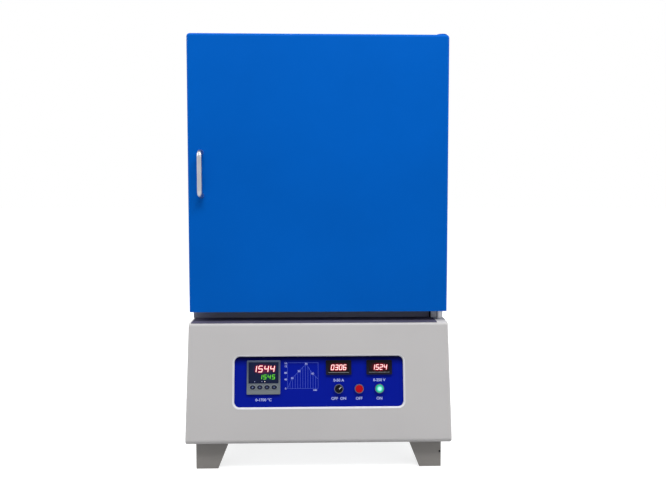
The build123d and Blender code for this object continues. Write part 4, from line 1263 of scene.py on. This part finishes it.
@dataclass
class WindowLipHighlight:
    """A thin pale skin on the rounded lip of the window in the base's front: a painted highlight
    along the lip.
    """

    plane: Plane
    size: tuple[float, float] = (485 * MM, 143.5 * MM)
    corner: float = 16 * MM
    lip: float = 4.5 * MM
    skin: float = 0.45 * MM
    face_rise: float = 10 * MM
    steps: int = 5

    def build(self) -> None:
        """Builds the painted highlight as a closed band round the window."""
        mesh = bmesh.new()
        wide, tall = self.size
        turns = [math.pi / 2 * (1 + step / self.steps) for step in range(self.steps + 1)]
        loops = [
            rounded_loop(mesh, wide + 2 * grow, tall + 2 * grow, self.corner + grow, rise)
            for grow, rise in skin_section((self.lip, -self.lip), self.lip, self.skin, turns)
        ]
        for first, second in zip(loops, loops[1:] + loops[:1]):
            rims = [
                [edge for edge in mesh.edges if edge.verts[0] in rim and edge.verts[1] in rim]
                for rim in (set(first), set(second))
            ]
            bmesh.ops.bridge_loops(mesh, edges=rims[0] + rims[1])
        place = self.plane.matrix(0, 0, self.face_rise)
        finish_piece("window_trim", mesh, Finish.TRIM, place)


@dataclass
class NeckShadeStrip:
    """A dark strip on the base's top, which laps over the rolled front edge: painted shade where
    the door overhangs the base.
    """

    roll: float = 12 * MM
    ledge: float = 14 * MM
    skin: float = 0.8 * MM
    lap: float = 38
    slope: float = 9.5
    steps: int = 6
    left_gap: float = 6 * MM
    right_gap: float = 31 * MM

    def build(self) -> None:
        """Builds the strip from its section, drawn out across the base."""
        base_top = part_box("base_shell")[1].z
        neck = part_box("neck_plinth")[0]
        setback = self.roll * math.tan(math.radians(90 - self.slope) / 2)
        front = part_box("door_shell")[0].y - self.ledge + setback
        centre = base_top - self.roll
        turns = [math.radians(90 + self.lap * step / self.steps) for step in range(self.steps + 1)]
        section = [(neck.y, base_top + self.skin)]
        section += skin_section((front, centre), self.roll, self.skin, turns)
        section.append((neck.y, base_top + PRINT_GAP))
        left = neck.x + self.left_gap
        right = -neck.x - self.right_gap
        mesh = bmesh.new()
        mesh.faces.new([mesh.verts.new((left, y, z)) for y, z in section])
        thicken(mesh, (right - left, 0, 0))
        finish_piece("neck_painted_shade_strip", mesh, Finish.SEAL)


@dataclass
class HingeBlock:
    """The painted block over the lower hinge bracket, near white as painted light, with a black
    strip on its inner side as painted shadow.
    """

    size: tuple[float, float, float] = (34 * MM, 14 * MM, 26.6 * MM)
    outer: float = 370 * MM
    front: float = -284.5 * MM
    lift: float = 1 * MM
    edge: float = 1.2 * MM
    # Painted shadow: a black strip beside the block stands for the dark gap there.
    cap: float = 2.6 * MM
    shadow_strip_inset: float = 1 * MM
    shadow_strip_edge: float = 0.4 * MM

    def build(self) -> None:
        """Builds the block and the painted shadow strip."""
        wide, deep, tall = self.size
        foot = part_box("base_shell")[1].z + self.lift
        y, z = self.front + deep / 2, foot + tall / 2
        block = bmesh.new()
        add_block(block, self.size, (self.outer - wide / 2, y, z))
        bevel(block, block.edges[:], self.edge, 3)
        finish_piece("hinge_block", block, Finish.BLOCK)
        cap = bmesh.new()
        x = self.outer - wide - self.cap / 2 - PRINT_GAP
        add_block(cap, (self.cap, deep - self.shadow_strip_inset, tall), (x, y, z))
        bevel(cap, cap.edges[:], self.shadow_strip_edge, 2)
        finish_piece("hinge_block_shadow_strip", cap, Finish.BLACK)


@dataclass
class FootStud:
    """The small dark stud near the outer edge of the right front foot."""

    rise: float = 44 * MM
    inset: float = 3.4 * MM
    size: tuple[float, float, float] = (3 * MM, 1.6 * MM, 0.6 * MM)  # radius, height, rounding

    def build(self) -> None:
        """Builds the stud on the foot's front."""
        low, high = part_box("foot_front_right")
        mesh = bmesh.new()
        add_disc(mesh, *self.size)
        face = standing_face(Vector((high.x - self.inset, low.y, self.rise)), (1, 0, 0))
        finish_piece("foot_stud", mesh, Finish.BLACK, face.matrix())


@dataclass
class Screws:
    """Pan-head screws with crossed recesses, set in a flat sheet."""

    name: str
    plane: Plane
    spots: list[tuple[float, float]]
    radius: float = 4 * MM
    height: float = 1.9 * MM
    rounding: float = 0.55  # the head's rounding as a share of its height
    recess: tuple[float, float] = (1.05, 0.2)  # a slot's length and width as shares of the radius
    turn: float = 0.5  # radians from one screw's recess to the next one's

    def build(self) -> None:
        """Builds the heads and the dark recesses in them."""
        heads, marks = bmesh.new(), bmesh.new()
        size = (self.radius * self.recess[0], self.radius * self.recess[1], PRINT)
        for number, (x, y) in enumerate(self.spots):
            add_disc(heads, self.radius, self.height, self.height * self.rounding, (x, y, 0))
            for quarter in (0, math.pi / 2):
                add_block(marks, size, (x, y, self.height), self.turn * number + quarter)
        place = self.plane.matrix()
        finish_piece(self.name, heads, Finish.PLATED, place)
        name = f"{self.name}_recesses"
        finish_piece(name, marks, Finish.BLACK, place, None)


def spaced(low: float, high: float, count: int, inset: float) -> list[float]:
    """Evenly spaced places from one end to the other, each end inset.

    Args:
        low: the low end.
        high: the high end.
        count: how many places.
        inset: how far the first and the last stand from the ends.

    Returns:
        The places.
    """
    first, last = low + inset, high - inset
    return [first + (last - first) * step / (count - 1) for step in range(count)]


def rim_spots(columns: list[float], rows: list[float]) -> list[tuple[float, float]]:
    """Places round a sheet's rim, those on its two sides first.

    Args:
        columns: the places across.
        rows: the places up.

    Returns:
        The places across and up.
    """
    sides = [(x, y) for y in rows for x in (columns[0], columns[-1])]
    return sides + [(x, y) for y in (rows[0], rows[-1]) for x in columns[1:-1]]


@dataclass
class CoverScrews:
    """The screws that hold the head's covers, the base's rear panel and the fan."""

    inset: float = 12 * MM
    fan_inset: float = 7.5 * MM
    fan_screw: tuple[float, float] = (3.6 * MM, 1.7 * MM)  # radius and height

    def build(self) -> None:
        """Builds the screws on every cover."""
        head_low, head_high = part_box("head_side_right")
        rear_low, rear_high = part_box("base_rear_panel")
        lid_low, lid_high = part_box("top_cover")
        fan_low, fan_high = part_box("fan_guard")
        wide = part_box("door_shell")[1].x
        levels = spaced(head_low.z, head_high.z, 6, self.inset)
        depths = spaced(head_low.y, head_high.y, 5, self.inset)
        columns = spaced(lid_low.x, lid_high.x, 5, self.inset)
        panel_rows = spaced(rear_low.z, rear_high.z, 3, self.inset / 2)
        panel_columns = spaced(rear_low.x, rear_high.x, 5, self.inset / 2)
        sides = rim_spots(depths, levels)
        lid = Plane(Vector((0, 0, lid_high.z)), Vector((1, 0, 0)), Vector((0, 1, 0)))
        for name, plane, spots in (
            (
                "right_cover_screws", standing_face(Vector((wide, 0, 0)), (0, 1, 0)),
                sides,
            ),
            (
                "left_cover_screws", standing_face(Vector((-wide, 0, 0)), (0, -1, 0)),
                [(-y, z) for y, z in sides],
            ),
            ("rear_cover_screws", self.rear_face(head_high.y), rim_spots(columns, levels)),
            ("top_cover_screws", lid, rim_spots(columns, depths)),
            (
                "rear_panel_screws", self.rear_face(fan_low.y),
                rim_spots(panel_columns, panel_rows),
            ),
        ):
            Screws(name, plane, spots).build()
        middle = (fan_low + fan_high) / 2
        half = (fan_high.x - fan_low.x) / 2 - self.fan_inset
        spots = [(-middle.x + a * half, middle.z + b * half) for a in (-1, 1) for b in (-1, 1)]
        Screws("fan_screws", self.rear_face(fan_high.y), spots, *self.fan_screw).build()

    def rear_face(self, depth: float) -> Plane:
        """A plane that faces the rear, at a depth along Y."""
        return standing_face(Vector((0, depth, 0)), (-1, 0, 0))


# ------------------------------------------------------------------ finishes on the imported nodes
@dataclass
class NodeFinishes:
    """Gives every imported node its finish, by its slot or by its own name."""

    nodes: dict
    named: dict[str, Finish | Lens] = field(default_factory=dict)

    def dress(self) -> None:
        """Assigns a material to every slot of every node."""
        for name, node in self.nodes.items():
            finish = self.named.get(name)
            for slot in node.material_slots:
                chosen = finish or SLOT_FINISH[slot.material.name.split(".")[0]]
                slot.material = chosen.material()
            LOG.info("dressed %s", name)


# ------------------------------------------------------------------ studio
@dataclass
class Studio:
    """The white floor, the light from above and the camera."""

    camera_at: tuple[float, float, float] = (-0.0189, -2.2359, 0.7673)
    yaw: float = 0.0281
    pitch: float = 0.0571
    lens: float = 35.60
    shift: tuple[float, float] = (0.0034, -0.0178)
    horizon: float = 0.32
    zenith: float = 0.84
    lamp_power: float = 79.5
    floor_grey: float = 0.39
    floor_lift: float = 0.78
    floor_size: float = 60
    floor_drop: float = 0.5 * MM
    aim: tuple[float, float, float] = (0, 0, 0.75)

    def build(self) -> None:
        """Builds the whole studio."""
        self.build_world()
        self.build_floor()
        self.build_lamps()
        self.build_camera()
        bpy.context.scene.view_settings.view_transform = "Standard"

    def seen_directly(self, tree: Tree) -> Node:
        """Adds a switch that is 1 for camera, mirror and glass rays and 0 for lighting.

        Args:
            tree: the node tree that it is added to.

        Returns:
            The switch's last node.
        """
        path = tree.add("ShaderNodeLightPath")
        first = tree.join("ADD", (path, "Is Camera Ray"), (path, "Is Glossy Ray"))
        second = tree.join("ADD", (first, 0), (path, "Is Transmission Ray"))
        second.use_clamp = True
        return second

    def build_world(self) -> None:
        """Builds a sky that is brighter overhead as a light and shows plain white."""
        world = bpy.data.worlds.new("studio_world")
        world.use_nodes = True
        bpy.context.scene.world = world
        tree = Tree(world.node_tree)
        background = world.node_tree.nodes["Background"]
        background.inputs["Color"].default_value = (1, 1, 1, 1)
        split = tree.add("ShaderNodeSeparateXYZ")
        tree.link(tree.add("ShaderNodeTexCoord"), "Generated", split, 0)
        rise = tree.add("ShaderNodeMapRange", {"To Min": self.horizon, "To Max": self.zenith})
        tree.link(split, "Z", rise, "Value")
        mix = tree.add("ShaderNodeMix")
        mix.data_type = "FLOAT"
        mix.inputs["B"].default_value = 1.0
        tree.link(self.seen_directly(tree), 0, mix, "Factor")
        tree.link(rise, "Result", mix, "A")
        tree.link(mix, "Result", background, "Strength")

    def build_floor(self) -> None:
        """Builds the white floor, which keeps the furnace's shadow."""
        mesh = bmesh.new()
        bmesh.ops.create_grid(mesh, x_segments=1, y_segments=1, size=self.floor_size)
        bmesh.ops.translate(mesh, vec=(0, 0, -self.floor_drop), verts=mesh.verts)
        data = bpy.data.meshes.new("studio_floor")
        mesh.to_mesh(data)
        mesh.free()
        floor = add_object("studio_floor", data)
        nodes = Nodes("studio_floor_white")
        nodes.fix("Base Color", (self.floor_grey, self.floor_grey, self.floor_grey, 1))
        nodes.fix("Roughness", 1.0)
        nodes.fix("Specular IOR Level", 0.0)
        nodes.fix("Emission Color", (1, 1, 1, 1))
        lift = nodes.join("MULTIPLY", (self.seen_directly(nodes), 0))
        lift.inputs[1].default_value = self.floor_lift
        nodes.link(lift, 0, nodes.shader, "Emission Strength")
        data.materials.append(nodes.material)

    def build_lamps(self) -> None:
        """Builds the lamp high in front and the weaker ones behind and beside."""
        for name, spot, size, share in (
            ("soft_front", (0.35, -2.0, 3.45), (2.4, 0.7), 1.0),
            ("soft_rear", (-0.9, 2.6, 2.6), (2.4, 1.6), 0.75),
            ("soft_left", (-3.0, -0.1, 2.3), (1.6, 1.6), 0.4),
            ("soft_right", (3.0, -0.1, 2.3), (1.6, 1.6), 0.4),
        ):
            self.add_lamp(name, spot, size, self.lamp_power * share)

    def add_lamp(self, name: str, spot: tuple, size: tuple, power: float) -> None:
        """Adds one area lamp that is aimed at the furnace's middle.

        Args:
            name: the lamp's name.
            spot: where it stands.
            size: its width and height.
            power: its power in watts.
        """
        light = bpy.data.lights.new(name, "AREA")
        light.shape = "RECTANGLE"
        light.size, light.size_y = size
        light.energy = power
        lamp = add_object(name, light)
        lamp.location = spot
        aim = Vector(self.aim) - lamp.location
        lamp.rotation_euler = aim.to_track_quat("-Z", "Y").to_euler()

    def build_camera(self) -> None:
        """Builds the camera."""
        data = bpy.data.cameras.new("camera")
        data.sensor_width = SENSOR_WIDTH
        data.sensor_fit = "HORIZONTAL"
        data.lens = self.lens
        data.shift_x, data.shift_y = self.shift
        camera = add_object("camera", data)
        camera.location = self.camera_at
        camera.rotation_euler = (math.pi / 2 - self.pitch, 0, -self.yaw)
        bpy.context.scene.camera = camera


def main() -> None:
    """Builds the furnace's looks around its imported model."""
    logging.basicConfig(level=logging.INFO, format="%(message)s")
    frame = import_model()
    Studio().build()
    panel = control_plane(frame["joints"])
    screen = Lens("controller_screen", srgb(12, 24, 58), (
        Glow(panel.point(CONTROLLER_AT[0], 36.3 * MM, 4 * MM), 20 * MM, (0.12, 0.0, 0.008), 1.9),
        Glow(panel.point(-149 * MM, 13.8 * MM, 4 * MM), 14 * MM, (0.0, 0.03, 0.02), 1.9),
    ))
    meter_glass = Lens("meter_screen", srgb(18, 4, 10), (
        Glow(panel.point(COLUMNS[0], 39.8 * MM, 4 * MM), 20 * MM, (0.11, 0.0, 0.008), 1.7),
        Glow(panel.point(COLUMNS[2], 39.8 * MM, 4 * MM), 20 * MM, (0.11, 0.0, 0.008), 1.7),
    ))
    start = panel.point(COLUMNS[2], BUTTON_ROW, 13 * MM)
    lamp = Lens("start_lens", srgb(0, 130, 96), (
        Glow(start, 60 * MM, (0.0, 0.31, 0.185)),
        Glow(start, 10.5 * MM, (0.62, 0.62, 0.85)),
    ))
    NodeFinishes(frame["nodes"], {
        "start_button": lamp,
        "controller_window": screen,
        "meter_windows": meter_glass,
        "button_bezels": Finish.RING,
        "door_handle": Finish.HANDLE,
        "ammeter_housing": Finish.METER_BLACK,
        "voltmeter_housing": Finish.METER_BLACK,
        "hinge_upper_bracket": Finish.BLUE,
        "hinge_lower_bracket": Finish.HINGE,
    }).dress()
    ControllerFace(panel).build()
    MeterFace(panel, "ammeter", "0306", COLUMNS[0]).build()
    MeterFace(panel, "voltmeter", "1524", COLUMNS[2]).build()
    ChartPrint(panel).build()
    ControlRow(panel).build()
    WindowLipHighlight(panel).build()
    NeckShadeStrip().build()
    HingeBlock().build()
    FootStud().build()
    CoverScrews().build()


if __name__ == "__main__":
    main()
